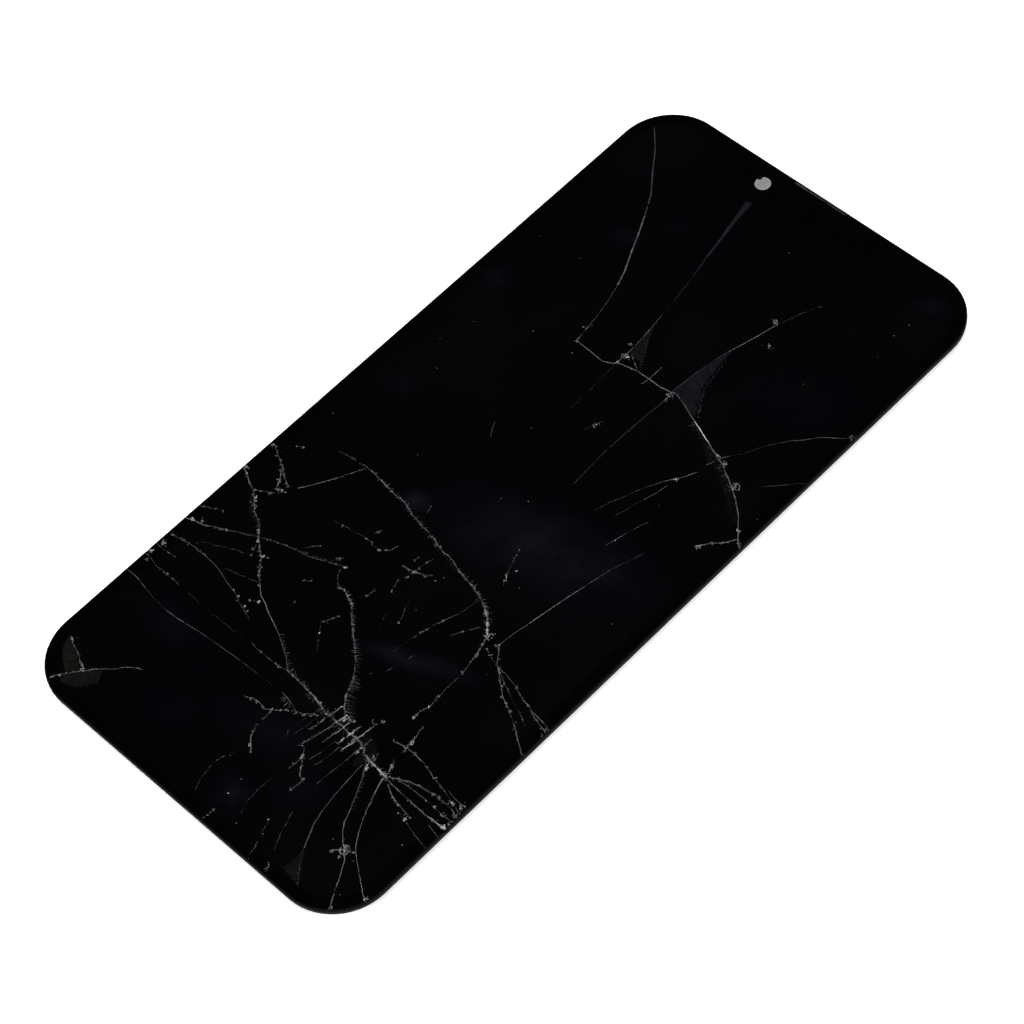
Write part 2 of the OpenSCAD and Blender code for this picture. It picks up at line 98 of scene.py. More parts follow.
camera_data = bpy.data.cameras.new("camera")
camera_data.lens = LENS_MM
camera_data.sensor_width = SENSOR_MM
camera = placed("camera", camera_data)
towards_camera = direction(AZIMUTH, ELEVATION)
level = (-towards_camera).to_track_quat("-Z", "Y").to_matrix()
rolled = (level @ Matrix.Rotation(math.radians(ROLL), 3, "Z")).to_quaternion()
camera.matrix_world = Matrix.LocRotScale(AIM + towards_camera * DISTANCE, rolled, None)
bpy.context.scene.camera = camera
print("camera at", [round(v, 4) for v in camera.matrix_world.translation])

# %% [markdown]
# ## Small helpers for materials
#
# Colours are written as sRGB hex, as a colour card gives them, and one function turns them linear. One
# function adds a node: it takes the node's kind, its inputs, which may be numbers or the sockets of other
# nodes, and its settings. Patterns read Object coordinates, which are metres here, so a pattern whose
# detail is `size` mm wide has a scale of 1000 / size.

# %% Colour and node helpers


def linear(hex_colour):
    """An sRGB hex colour as linear RGBA."""
    parts = [int(hex_colour[i:i + 2], 16) / 255 for i in (1, 3, 5)]
    return tuple(c / 12.92 if c <= 0.04045 else ((c + 0.055) / 1.055) ** 2.4 for c in parts) + (1.0,)


def add(mat, kind, inputs=None, **settings):
    """Adds a node. inputs maps a socket's name or number to a value or to another node's output."""
    made = mat.node_tree.nodes.new(kind)
    for key, value in settings.items():
        setattr(made, key, value)
    for key, value in (inputs or {}).items():
        if isinstance(value, bpy.types.NodeSocket):
            mat.node_tree.links.new(value, made.inputs[key])
        else:
            made.inputs[key].default_value = value
    return made


def calc(mat, operation, *values):
    """One sum on numbers or sockets."""
    return add(mat, "ShaderNodeMath", dict(enumerate(values)), operation=operation).outputs["Value"]


def vector_calc(mat, operation, *values):
    """One sum on vectors."""
    made = add(mat, "ShaderNodeVectorMath", dict(enumerate(values)), operation=operation)
    return made.outputs["Value" if operation == "LENGTH" else "Vector"]


def blend(mat, share, first, second, kind="MIX"):
    """Mixes two colours, which this node takes in its sockets 6 and 7."""
    made = add(mat, "ShaderNodeMix", {0: share, 6: first, 7: second}, data_type="RGBA", blend_type=kind)
    return made.outputs[2]


print("middle grey is", round(linear("#808080")[0], 3), "of white")

# %% Opening and closing a material


def new_material(name):
    """An empty material and its object coordinates."""
    mat = bpy.data.materials.new(name)
    mat.use_nodes = True
    mat.node_tree.nodes.clear()
    place = add(mat, "ShaderNodeTexCoord").outputs["Object"]
    return mat, place


def close(mat, shader):
    """Wires a shader to the material's output."""
    add(mat, "ShaderNodeOutputMaterial", {"Surface": shader})
    return mat


def coat(mat, inputs):
    """Closes a material as one solid surface with these inputs."""
    return close(mat, add(mat, "ShaderNodeBsdfPrincipled", inputs).outputs["BSDF"])


# %% [markdown]
# ### Patterns and finishes
#
# A real surface is never one flat colour. So each finish follows a fine grain and a broad one, added
# together, which shift its colour and its gloss a little, and the fine one gives it a relief.

# %% Patterns and finishes
# Noise keeps mostly between these values, and so does the sum of two noises
NOISE_LOW, NOISE_HIGH = 0.3, 0.7
SUM_LOW, SUM_HIGH = 0.7, 1.3
# How strongly a common plastic or film mirrors
USUAL_SHINE = 0.5
# The broad blotches of a finish are this many times as wide as its grain
BROADER = 9


def ramp(mat, factor, stops):
    """A colour ramp from (position, hex colour) stops."""
    made = add(mat, "ShaderNodeValToRGB", {"Fac": factor})
    band = made.color_ramp
    band.elements[0].position, band.elements[0].color = stops[0][0], linear(stops[0][1])
    band.elements[1].position, band.elements[1].color = stops[-1][0], linear(stops[-1][1])
    for position, colour in stops[1:-1]:
        band.elements.new(position).color = linear(colour)
    return made.outputs["Color"]


def spread(mat, value, low, high, out_low, out_high):
    """Maps a value from one range to another, held at the ends."""
    made = add(mat, "ShaderNodeMapRange", {
        "Value": value, "From Min": low, "From Max": high, "To Min": out_low, "To Max": out_high})
    return made.outputs["Result"]


def grain(mat, place, size, detail=3.0, roughness=0.5):
    """Noise whose blotches are about `size` mm wide."""
    made = add(mat, "ShaderNodeTexNoise", {
        "Vector": place, "Scale": 1.0 / (size * MM), "Detail": detail, "Roughness": roughness})
    return made.outputs["Fac"]


def finish_material(name, dark, light, size, rough, relief=0.0, metallic=0.0, shine=USUAL_SHINE):
    """A material whose colour, gloss and relief follow one grain: dark and light hex colours, the grain's
    size in mm, (low, high) roughness, the relief in mm, and how metallic and how mirroring it is."""
    mat, place = new_material(name)
    fine = grain(mat, place, size)
    mixed = calc(mat, "ADD", fine, grain(mat, place, size * BROADER, 2.0))
    inputs = {
        "Base Color": ramp(mat, spread(mat, mixed, SUM_LOW, SUM_HIGH, 0, 1), [(0.0, dark), (1.0, light)]),
        "Roughness": spread(mat, mixed, SUM_LOW, SUM_HIGH, *rough),
        "Metallic": metallic, "Specular IOR Level": shine}
    if relief:
        inputs["Normal"] = add(mat, "ShaderNodeBump", {
            "Height": fine, "Strength": 1.0, "Distance": relief * MM}).outputs["Normal"]
    return coat(mat, inputs)


# %% [markdown]
# ## Floor and light
#
# A light table and soft lamps. The opal floor glows a little by itself, so that no dark shadow gathers
# under the edge. Black glass is a mirror, so what it mirrors decides how it looks: high up the studio is
# dark, and the lamps stand where the camera can't see their mirror image in it. Low down the studio is
# pale, so that from a low angle the glass shows a soft sheen. The pale floor still lights the rounded
# edge from the side, which draws the thin grey line round the glass.

# %% Floor
FLOOR_SIZE = 8.0
FLOOR_GAP = 0.02 * MM
# The glow is even where the module lies, and rises to white between these distances in m
GLOW_FROM, GLOW_TO = 0.3, 1.2
floor_material, floor_place = new_material("Light table, opal acrylic")
floor_cloud = grain(floor_material, floor_place, 60.0)
floor_colour = ramp(floor_material, floor_cloud, [(0.0, "#f1f1f0"), (1.0, "#f6f6f5")])
floor_far = vector_calc(floor_material, "LENGTH", floor_place)
floor_rise = spread(floor_material, floor_far, GLOW_FROM, GLOW_TO, 0, 1)
coat(floor_material, {
    "Base Color": floor_colour, "Roughness": 0.9, "Specular IOR Level": 0.1, "Emission Strength": 1.0,
    "Emission Color": ramp(floor_material, floor_rise, [(0.0, "#bcbdbf"), (1.0, "#ffffff")])})
floor_mesh = bmesh.new()
bmesh.ops.create_grid(floor_mesh, x_segments=1, y_segments=1, size=FLOOR_SIZE / 2)
bmesh.ops.translate(floor_mesh, verts=floor_mesh.verts, vec=(0, 0, cad_low.z - FLOOR_GAP))
floor_data = bpy.data.meshes.new("floor")
floor_mesh.to_mesh(floor_data)
floor_mesh.free()
floor_data.materials.append(floor_material)
floor = placed("floor", floor_data)
print("floor:", FLOOR_SIZE, "m wide")

# %% Lamps and sky
# name: (azimuth, elevation, distance in m, side in m, power in W)
LAMPS = {
    "softbox_over": (0, 88, 1.5, 0.55, 19.0),
    "softbox_right": (110, 30, 1.6, 0.8, 16.0),
    "softbox_left": (-15, 30, 1.6, 0.8, 16.0),
}
# (height, colour), from the horizon at 0 to straight up at 1
SKY = [
    (0.0, "#ffffff"), (0.12, "#f4f5f7"), (0.26, "#8d9096"), (0.45, "#3a3c41"), (0.65, "#1d1e21"),
    (1.0, "#1d1e21"),
]
for name, (azimuth, elevation, distance, side, power) in LAMPS.items():
    lamp_data = bpy.data.lights.new(name, "AREA")
    lamp_data.shape = "SQUARE"
    lamp_data.size = side
    lamp_data.energy = power
    lamp = placed(name, lamp_data)
    lamp.location = direction(azimuth, elevation) * distance
    lamp.rotation_euler = (-direction(azimuth, elevation)).to_track_quat("-Z", "Y").to_euler()

world = bpy.data.worlds.new("studio, pale at the foot and dark above")
world.use_nodes = True
upward = add(world, "ShaderNodeTexCoord").outputs["Generated"]
height = add(world, "ShaderNodeSeparateXYZ", {"Vector": upward}).outputs["Z"]
world.node_tree.links.new(ramp(world, height, SKY), world.node_tree.nodes["Background"].inputs["Color"])
bpy.context.scene.world = world
bpy.context.scene.view_settings.view_transform = "Standard"
print("lamps:", *LAMPS)

# %% [markdown]
# ## Small helpers for meshes
#
# Each new piece starts from a bmesh operator. `keep` turns the bmesh into an object at the origin, gives
# it its material and lets it ride on the module.

# %% Mesh helpers


def keep(name, bm, material):
    """Makes a bmesh into a piece of the module."""
    bm.normal_update()
    data = bpy.data.meshes.new(name)
    bm.to_mesh(data)
    bm.free()
    data.materials.append(material)
    for polygon in data.polygons:
        polygon.use_smooth = False
    made = placed(name, data)
    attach(made, "root")
    print(f"{name}: {len(data.polygons)} faces")
    return made


def joined(parts):
    """Moves several small bmeshes into one."""
    whole = bmesh.new()
    for part in parts:
        data = bpy.data.meshes.new("part")
        part.to_mesh(data)
        part.free()
        whole.from_mesh(data)
        bpy.data.meshes.remove(data)
    return whole


# %% [markdown]
# ## Where the glass is cracked
#
# Every crack is a short route of points in mm, seen from above, with X to the right and Y up the screen.
# The main routes follow the grooves in the imported glass to within half a millimetre, and the finest hairs
# have no groove. A route starts with its tone, from 1 for a faint line to 4 for crushed white glass, with
# 5 and 6 for clean cracks without crumbs, in painted shade and painted light, and 7 for a painted glint
# where a face mirrors a lamp, and its width in mm at its start and end. Each stretch's tone is partly
# painted light, for how brightly that stretch catches the lamps.

# %% Routes of the cracks
# region: [(tone, width at the start, width at the end, points)]
CRACKS = {
    "upper": [
        # The long arc at the top left: dim, then brighter, then dim, and bright where it ends, all
        # painted light
        (5, 0.20, 0.26, [(-31.5, 65.7), (-28.5, 62.7), (-25.2, 58.5), (-22.3, 55), (-20, 51)]),
        (6, 0.28, 0.26, [(-20, 51), (-18.2, 47.5), (-16.5, 44), (-14.8, 40.7), (-13.7, 37.8)]),
        (5, 0.16, 0.12, [(-13.7, 37.8), (-12.8, 34.8), (-12.2, 32), (-11.7, 29)]),
        (3, 0.18, 0.22, [(-11.7, 29), (-11.2, 25.7)]),
        (6, 0.18, 0.16, [(-11.2, 25.7), (-8.5, 25.6), (-5.3, 25.4), (-3.4, 26.2)]),
        (6, 0.22, 0.18, [(-3.3, 26.7), (-1, 27.2), (0.5, 27.5), (2.7, 27.5), (5, 27.5), (7, 27.8)]),
        (3, 0.34, 0.10, [(-2.6, 29.2), (-1.6, 28.6), (0, 27.7)]),
        # From the camera down
        (5, 0.10, 0.10, [(-8.0, 58), (-7.5, 56), (-6.5, 51)]),
        (1, 0.12, 0.12, [(-6.5, 51), (-5.6, 47), (-4.8, 42), (-4.2, 38)]),
        (5, 0.12, 0.14, [(-4.2, 38), (-3.8, 35)]),
        (6, 0.12, 0.16, [(-3.8, 35), (-3.4, 31.5), (-3.3, 28.5), (-3.4, 26.3)]),
        (1, 0.10, 0.08, [(-3.3, 26), (-3, 20), (-2.8, 15.5)]),
        (6, 0.12, 0.14, [(2.7, 30.5), (2.7, 27.5), (2.4, 26)]),
        # The stem of the fan
        (1, 0.08, 0.10, [(13.9, 55.3), (12.5, 52), (11, 48)]),
        (6, 0.16, 0.12, [(11, 48), (10.3, 45), (9.5, 42), (8.6, 39)]),
        (5, 0.12, 0.12, [(8.6, 39), (8, 36), (7.5, 32.5), (7.1, 28)]),
        (5, 0.12, 0.10, [(7, 28), (7.4, 26.3), (7.1, 22)]),
        (5, 0.08, 0.06, [(7.1, 22), (6.9, 17), (6.9, 12), (7.3, 5.5)]),
    ],
    "right_arc": [
        (6, 0.20, 0.22, [(7, 27.9), (8, 28.1), (10.5, 27.3), (13.5, 26.1)]),
        (7, 0.16, 0.18, [(13.5, 26.1), (16, 25.2), (18.1, 24.4)]),
        (6, 0.22, 0.26, [(18.1, 24.4), (19, 24), (21, 23.4)]),
        (6, 0.24, 0.20, [(21, 23.4), (22.6, 22.6), (25, 21.3), (26.8, 20.2), (28, 19.4)]),
        (6, 0.18, 0.16, [(28, 19.4), (30.3, 17.5), (32, 15.6), (33.2, 14.2)]),
        (3, 0.24, 0.24, [(33.2, 14.2), (34.1, 13.4), (34.6, 13)]),
        (3, 0.12, 0.20, [(22.2, 24.8), (21.2, 23.3), (20.5, 21.3)]),
        (6, 0.14, 0.12, [(20.3, 19.3), (19.3, 17.3), (18.7, 16.5), (17.6, 14.8)]),
        (5, 0.12, 0.08, [(17.6, 14.8), (16.2, 12.3), (15.4, 10.5)]),
        (1, 0.10, 0.08, [(15.4, 10.5), (14.8, 8.8), (13.8, 6.5), (13, 4)]),
        (5, 0.12, 0.12, [(18.5, 14.6), (18.2, 12.8), (17.5, 10.4)]),
        (1, 0.08, 0.08, [(17.5, 10.4), (17, 8.8), (16.6, 7), (16, 5)]),
        (1, 0.10, 0.10, [(20.9, 8), (20, 5.5), (19.6, 4.2)]),
        (5, 0.12, 0.10, [(19.6, 4.2), (19.3, 2.8), (18.7, 0.4)]),
        (3, 0.16, 0.24, [(33.2, 14.2), (32, 12.3), (30.5, 11), (29.3, 9.2)]),
        (1, 0.07, 0.07, [(22.2, 24.8), (23.5, 26.5), (24.7, 29), (26, 31), (27.5, 32.9)]),
        (5, 0.14, 0.14, [(27.5, 32.9), (28.8, 34.2), (30.3, 36), (31.8, 37.2), (33, 38)]),
        (1, 0.12, 0.12, [(33, 38), (34.5, 39.5)]),
        (1, 0.10, 0.10, [(29.5, 23.5), (31.5, 25.5), (33.3, 27.4), (34.5, 28.4)]),
        (6, 0.16, 0.16, [(25.8, 21), (26.2, 21.7), (27, 21.6), (27.4, 20.8), (26.6, 20.5), (25.9, 21)]),
        (5, 0.12, 0.12, [(-10.2, 6.2), (-9.6, 5), (-8.7, 3.7)]),
        (1, 0.10, 0.10, [(2.8, 17), (2, 15.5), (1.5, 14)]),
    ],
    "middle": [
        (2, 0.12, 0.16, [(-25, -13.4), (-22.8, -13), (-19.5, -12.8), (-17.5, -12.8)]),
        (3, 0.16, 0.16, [(-17.5, -12.8), (-15, -13.2), (-12.8, -13.5), (-10, -13.6), (-8, -14.4)]),
        (3, 0.14, 0.18, [(-8, -14.4), (-5.5, -14.8), (-3.5, -15.1), (0, -16), (2.7, -16.3),
                         (4.5, -16.9)]),
        (3, 0.20, 0.26, [(4.5, -16.9), (7.5, -17.6), (9, -17.7), (10.3, -18.3), (12.3, -19)]),
        (4, 0.30, 0.34, [(12.3, -19), (13.8, -20), (15.2, -21.3), (16.2, -22.5)]),
        (1, 0.10, 0.10, [(-16.2, -23), (-14.5, -22.7), (-12, -22.3), (-11, -22.1)]),
        (2, 0.12, 0.14, [(-11, -22.1), (-10, -22), (-8.9, -22.1)]),
        (1, 0.10, 0.10, [(-8.9, -22.1), (-8, -22.3), (-7, -22.3)]),
        (2, 0.14, 0.12, [(-7, -22.3), (-5.8, -21.2), (-5.2, -19.7)]),
        (2, 0.10, 0.10, [(-9.7, -20.5), (-9.4, -19.5)]),
        (3, 0.14, 0.14, [(-2.3, -21.9), (-1, -21.8), (0, -21.5), (1.2, -21.1), (2.3, -20.4)]),
        (2, 0.10, 0.10, [(-1.7, -20), (-1.5, -19)]),
        (2, 0.12, 0.10, [(0.4, -18), (0, -19.5), (-0.1, -21), (-0.3, -22.5), (-0.9, -24.5),
                         (-0.3, -26.3)]),
        (2, 0.10, 0.10, [(2.9, -25.8), (3.4, -27), (4, -28.3), (4.6, -29.7)]),
        (1, 0.10, 0.10, [(1.8, -29.6), (2.4, -31), (3.2, -32.4)]),
        (2, 0.10, 0.10, [(-2.6, -29.2), (-2.4, -27.8)]),
        (1, 0.10, 0.10, [(10.9, -18.7), (10.6, -20.5), (10.3, -22.3)]),
        (2, 0.10, 0.10, [(10.3, -22.3), (9.3, -25), (8.6, -27), (8.2, -28.8)]),
        (1, 0.10, 0.08, [(8.2, -28.8), (7.9, -30.5), (7.6, -32), (7.5, -33.5)]),
        (2, 0.12, 0.10, [(14.4, -22), (13.5, -23.5), (12.6, -25), (12, -26)]),
        (1, 0.08, 0.08, [(10.3, -31.6), (10, -33.3), (9.6, -35), (9, -36.8)]),
        (2, 0.10, 0.10, [(-6.7, -11.3), (-6.2, -13)]),
        (2, 0.10, 0.12, [(9.3, -8.3), (9.8, -10), (10.7, -12.2), (11.2, -13.3), (11.8, -14.5)]),
    ],
    "left_edge": [
        (3, 0.16, 0.14, [(-34.5, -19.3), (-33.5, -19.2), (-31.7, -20.2), (-30, -21)]),
        (3, 0.14, 0.18, [(-30, -21), (-28, -22.4), (-26.2, -23.3)]),
        (3, 0.14, 0.18, [(-30, -21), (-29.2, -22), (-28.2, -23.3), (-27.5, -24.5)]),
        (2, 0.14, 0.14, [(-27.2, -25.4), (-28.6, -26.3), (-30, -27.1)]),
        (2, 0.10, 0.10, [(-31, -17.2), (-30, -16.5)]),
        (1, 0.10, 0.10, [(-31.7, -17.5), (-32, -19.5)]),
        (2, 0.12, 0.10, [(-34.6, -34.7), (-33.5, -34.2), (-32, -33.3), (-31, -33)]),
        (3, 0.16, 0.16, [(-34.5, -41.2), (-33, -40.8), (-31.5, -40.5), (-29.5, -40.3), (-27, -40.3)]),
        (2, 0.10, 0.12, [(-18, -42.2), (-16.5, -42.7), (-14.5, -43.3), (-13.3, -43.8)]),
        (2, 0.14, 0.14, [(-34.5, -43.5), (-33, -43.7), (-31.5, -43.6), (-30.2, -43.5)]),
        (2, 0.16, 0.10, [(-34.5, -46), (-33, -46.1), (-31.5, -46.5), (-29, -46.4), (-26, -46.5)]),
        (1, 0.08, 0.08, [(-24, -46.6), (-20, -46.7), (-18, -46.7), (-11, -46.7)]),
        (2, 0.12, 0.14, [(-10.3, -45.9), (-9.6, -46.5), (-8, -46.5), (-5, -46.6), (-2.6, -46.3)]),
        (1, 0.10, 0.10, [(-29.5, -39), (-26.5, -37.7), (-24, -36.5), (-21.5, -35.6)]),
        (1, 0.10, 0.10, [(-23, -39.9), (-21.5, -39.5), (-20.5, -39.3), (-18.5, -38.7), (-17, -38.3)]),
        (2, 0.10, 0.10, [(-22.6, -33.4), (-22, -34.5), (-21.6, -35.5)]),
    ],
    "clean": [
        # The long straight ones, from the left edge to the lower middle and up the right side, and two
        # short ones with a painted glint
        (6, 0.14, 0.12, [(-34.4, -49.8), (-32.5, -49.8), (-31, -50), (-29.6, -50.3)]),
        (1, 0.08, 0.08, [(-29.6, -50.3), (-27, -50.7), (-24.2, -50.9)]),
        (6, 0.14, 0.14, [(-24.2, -50.9), (-22.4, -50.8), (-20.4, -50.6)]),
        (5, 0.15, 0.12, [(-20.4, -50.6), (-17.5, -50.2), (-15, -50), (-12, -49.8), (-9, -49.6)]),
        (1, 0.10, 0.10, [(-9, -49.6), (-6, -49.5), (-3, -49.4), (-1.5, -49.7)]),
        (6, 0.12, 0.14, [(-0.2, -49.3), (1.5, -49.5), (2.8, -49.9), (3.9, -50.1)]),
        (5, 0.12, 0.13, [(-19.5, -13), (-20.5, -15), (-21.4, -16.8)]),
        (6, 0.14, 0.12, [(-21.4, -16.8), (-22, -17.8), (-23.5, -20.3), (-25, -22.5)]),
        (5, 0.15, 0.13, [(-27, -40.3), (-25, -40.4), (-23.5, -40.6), (-22, -41.1), (-20, -41.6),
                         (-18, -42)]),
        (6, 0.16, 0.15, [(-16.5, -38.5), (-15, -39.7), (-13.5, -40.2), (-12, -41), (-10, -41.8),
                         (-8, -42.6)]),
        (5, 0.15, 0.15, [(-8, -42.6), (-6, -43.7), (-4, -44.8), (-2.6, -46)]),
        (7, 0.14, 0.15, [(12.4, -49.4), (12.9, -47)]),
        (7, 0.15, 0.14, [(13.6, -50.2), (14.2, -47.9)]),
        (1, 0.10, 0.10, [(24.2, 3.5), (23.2, 0.5), (22.3, -2)]),
        (5, 0.12, 0.14, [(22.3, -2), (21.7, -5), (21.1, -8)]),
        (6, 0.14, 0.14, [(21.1, -8), (20.5, -11), (20, -14), (19.5, -17)]),
        (5, 0.13, 0.10, [(19.5, -17), (19, -19.5), (18.7, -22.3)]),
    ],
    "diagonal": [
        (3, 0.24, 0.20, [(-34.5, -24.8), (-33, -25.8), (-31.5, -26.6), (-30, -27.2)]),
        (3, 0.22, 0.24, [(-30, -27.2), (-28.5, -28.3), (-27, -29.8), (-25.3, -30.5), (-23.8, -31.8),
                         (-22.5, -33.1)]),
        (3, 0.22, 0.20, [(-22.5, -33.1), (-21, -34.3), (-20, -34.9), (-19, -36.2), (-17.8, -37.5),
                         (-16.5, -38.5)]),
        (3, 0.18, 0.24, [(-2.6, -46.1), (0, -46.3), (2.5, -46.5), (4.5, -46.8), (7, -47.4)]),
        (3, 0.20, 0.16, [(7, -47.4), (10, -47.5), (12.5, -47.6)]),
        (3, 0.16, 0.24, [(12.5, -47.6), (15, -47.6), (17, -48.7)]),
        (4, 0.26, 0.30, [(17, -48.7), (19, -49), (20.5, -49.1), (21.8, -49.3)]),
        (2, 0.12, 0.12, [(-19.2, -34.2), (-20.3, -34.9)]),
        (2, 0.12, 0.16, [(-16, -41.5), (-14.4, -40.6)]),
        (3, 0.18, 0.16, [(-34.5, -37.5), (-33, -37), (-31.5, -36.7), (-30, -36), (-28, -35)]),
        (2, 0.14, 0.14, [(-28, -35), (-26, -34), (-24, -33.1), (-22.7, -32.4), (-21, -31.7)]),
        (2, 0.12, 0.14, [(-21, -31.7), (-19, -31), (-17, -30.5), (-15, -30.2)]),
        (2, 0.14, 0.16, [(-15, -30.2), (-12.8, -29.4), (-11, -28.6), (-9.5, -28), (-8.5, -27.6)]),
        (2, 0.12, 0.12, [(-9.2, -28.2), (-8.7, -29.5), (-7.5, -30.6), (-7, -31.2)]),
        (3, 0.16, 0.20, [(-7, -30.9), (-6, -30.8), (-4.7, -31.2), (-3.4, -31.7)]),
        (3, 0.20, 0.18, [(-3.4, -31.7), (-2.3, -32.7), (-1.2, -33.8), (0, -34.8), (1.5, -36),
                         (3, -37.2)]),
        (2, 0.16, 0.16, [(3, -37.2), (4.3, -38.3), (5.3, -39.5), (6.3, -41), (7, -42.5)]),
        (3, 0.16, 0.20, [(7, -42.5), (7.8, -44), (9, -45.3), (10.3, -46.3)]),
        (3, 0.14, 0.20, [(10.3, -46.3), (11.6, -45.8)]),
        (2, 0.10, 0.10, [(-3.2, -34.5), (-3.8, -35.5), (-4.3, -36.5), (-4.6, -36.8)]),
        (1, 0.10, 0.10, [(-4.6, -36.8), (-3.9, -38), (-3.3, -38.8), (-2, -40.2), (-1.5, -41)]),
        (2, 0.10, 0.10, [(-10.3, -38.3), (-10.3, -37)]),
        (2, 0.10, 0.10, [(-12, -33.5), (-11, -33)]),
        (2, 0.12, 0.12, [(-16, -29.3), (-15.3, -28.3), (-14.5, -27.7)]),
        (2, 0.10, 0.10, [(-11, -27.5), (-10.3, -26.8)]),
    ],
    "right_fans": [
        (3, 0.20, 0.16, [(16.2, -22.5), (16.8, -24), (17.2, -25.5), (17.5, -27)]),
        (2, 0.12, 0.10, [(17.5, -27), (17.8, -28.7), (18, -30.2)]),
        (1, 0.12, 0.12, [(18, -30.2), (18, -32.5), (18.1, -34.5)]),
        (3, 0.12, 0.18, [(18.1, -34.5), (18.2, -36), (18.3, -36.8), (17.7, -38.3), (17.8, -39.6)]),
        (3, 0.18, 0.18, [(18.6, -22.3), (19.5, -23.4), (20.8, -25), (22.3, -26.2), (23.8, -27.3)]),
        (3, 0.16, 0.16, [(23.8, -27.3), (25.5, -28.6), (27.5, -29.5), (29.5, -30.6), (31.5, -31.9),
                         (34.5, -33.8)]),
        (2, 0.12, 0.12, [(17.8, -24.2), (19.5, -24.8), (21, -25.3), (23.5, -25.5), (25.5, -26)]),
        (3, 0.14, 0.18, [(25.5, -26), (28, -26.9), (30.5, -27.5), (32.5, -27.7), (34.5, -28.1)]),
        (2, 0.10, 0.12, [(21.5, -25.5), (24, -26.7), (27, -28), (29.5, -29), (31.3, -30)]),
        (3, 0.12, 0.14, [(30, -27.5), (32, -28.2), (34.5, -28.8)]),
        (2, 0.12, 0.12, [(33.8, -29.2), (34.6, -29.6)]),
        (3, 0.14, 0.20, [(20, -40), (20.4, -42), (20.5, -43.5), (20.8, -44.8)]),
        (4, 0.18, 0.26, [(20.9, -46.5), (21.2, -47.5), (21.5, -48.5)]),
        (3, 0.16, 0.16, [(18.3, -44.3), (19.5, -44), (20.5, -43.8), (22.5, -43.8), (24.5, -44),
                         (27, -44.7)]),
        (2, 0.14, 0.16, [(27, -44.7), (30, -45.3), (32.3, -46), (34.5, -46.5)]),
        (2, 0.12, 0.14, [(30.3, -44.9), (32.5, -45.2), (34.5, -45.3)]),
        (3, 0.20, 0.18, [(21.8, -49.2), (23, -48.5), (25, -47.5), (27, -47), (29, -46.7)]),
        (3, 0.16, 0.16, [(29, -46.7), (31, -46.6), (33, -46.8), (34.5, -47.2)]),
        (2, 0.14, 0.14, [(24, -48.3), (27, -48.1), (30, -48.1), (32.5, -48.3), (34.5, -48.1)]),
        (3, 0.18, 0.18, [(22, -49.4), (25, -49.6), (27, -49.7), (29, -49.8), (31, -49.8)]),
        (4, 0.22, 0.34, [(31, -49.8), (33, -49.7), (34.5, -49.6)]),
        (3, 0.16, 0.14, [(23, -50), (24.8, -50.8), (26.7, -51.3), (29.4, -51.7)]),
        (2, 0.12, 0.12, [(27.8, -52.2), (29.5, -52.6), (31.5, -53.1), (34.5, -53.7)]),
        (2, 0.12, 0.12, [(32, -50.7), (34.5, -51.2)]),
        (3, 0.12, 0.12, [(34, -48.6), (34.5, -48.8)]),
    ],
    "lower_right": [
        (6, 0.18, 0.16, [(21.6, -49.5), (22, -51), (22.6, -52.5)]),
        (3, 0.16, 0.14, [(22.6, -52.5), (23.4, -54.5), (24.3, -56.5)]),
        (6, 0.14, 0.14, [(24.3, -56.5), (25.5, -58.5), (26.8, -60.3), (28.3, -61.5), (30, -62.7)]),
        (6, 0.16, 0.14, [(30, -62.7), (31.7, -63.9), (33, -64.8), (34, -65.3)]),
        (5, 0.16, 0.16, [(18.5, -50.3), (19.5, -52), (20.5, -54), (21.5, -56)]),
        (6, 0.16, 0.16, [(21.5, -56), (22.5, -58.3), (23.5, -59.7)]),
        (3, 0.14, 0.24, [(23.5, -59.7), (25, -61), (25.8, -61.5)]),
        (6, 0.14, 0.16, [(25.9, -61.7), (26.8, -62.5), (28, -64.3), (29.2, -66.5)]),
        (3, 0.16, 0.16, [(29.2, -66.5), (30.3, -68.5), (31, -70)]),
        (5, 0.14, 0.14, [(17.7, -50), (17.9, -53), (18.2, -56), (18.7, -59)]),
        (6, 0.16, 0.16, [(18.7, -59), (19.3, -61.3), (20.3, -63.5), (21.3, -65.5)]),
        (1, 0.14, 0.12, [(21.3, -65.5), (22.5, -67.3), (24, -69), (25, -70.2)]),
        (1, 0.16, 0.12, [(15.4, -48.5), (15.4, -50.5), (15.3, -52), (15, -54.5), (14.9, -57)]),
        (3, 0.20, 0.20, [(24.2, -62.9), (25.2, -61.9), (26.2, -61.3), (27.3, -60.8)]),
        (3, 0.20, 0.20, [(25, -61.2), (25.6, -60.6), (26.5, -61), (26.4, -62), (25.5, -62.3),
                         (25, -61.6)]),
    ],
    "lower_middle": [
        (4, 0.12, 0.12, [(8.5, -45), (8.2, -46.5), (7.9, -48.5)]),
        (3, 0.12, 0.10, [(7.9, -48.5), (7.6, -50.8)]),
        (4, 0.14, 0.12, [(10, -45.6), (9.6, -48.5)]),
        (3, 0.12, 0.10, [(9.6, -48.5), (9, -51), (8.4, -53.5)]),
        (4, 0.14, 0.12, [(11.3, -45.9), (10.9, -49)]),
        (3, 0.12, 0.10, [(10.9, -49), (10.5, -51.2)]),
        (4, 0.14, 0.12, [(12.9, -45.6), (12.4, -49.9)]),
        (4, 0.14, 0.12, [(14.4, -44), (14.1, -46.5), (13.7, -50.2)]),
        (3, 0.12, 0.16, [(15.7, -46.3), (15.6, -49.3)]),
        (3, 0.12, 0.16, [(18.3, -47.2), (18.2, -49.3), (18.6, -50.3)]),
        (1, 0.10, 0.08, [(6.4, -46.2), (6.1, -48.4), (5.4, -51.6)]),
        (1, 0.10, 0.08, [(7.2, -46.4), (6.9, -49.4), (6.4, -52.8)]),
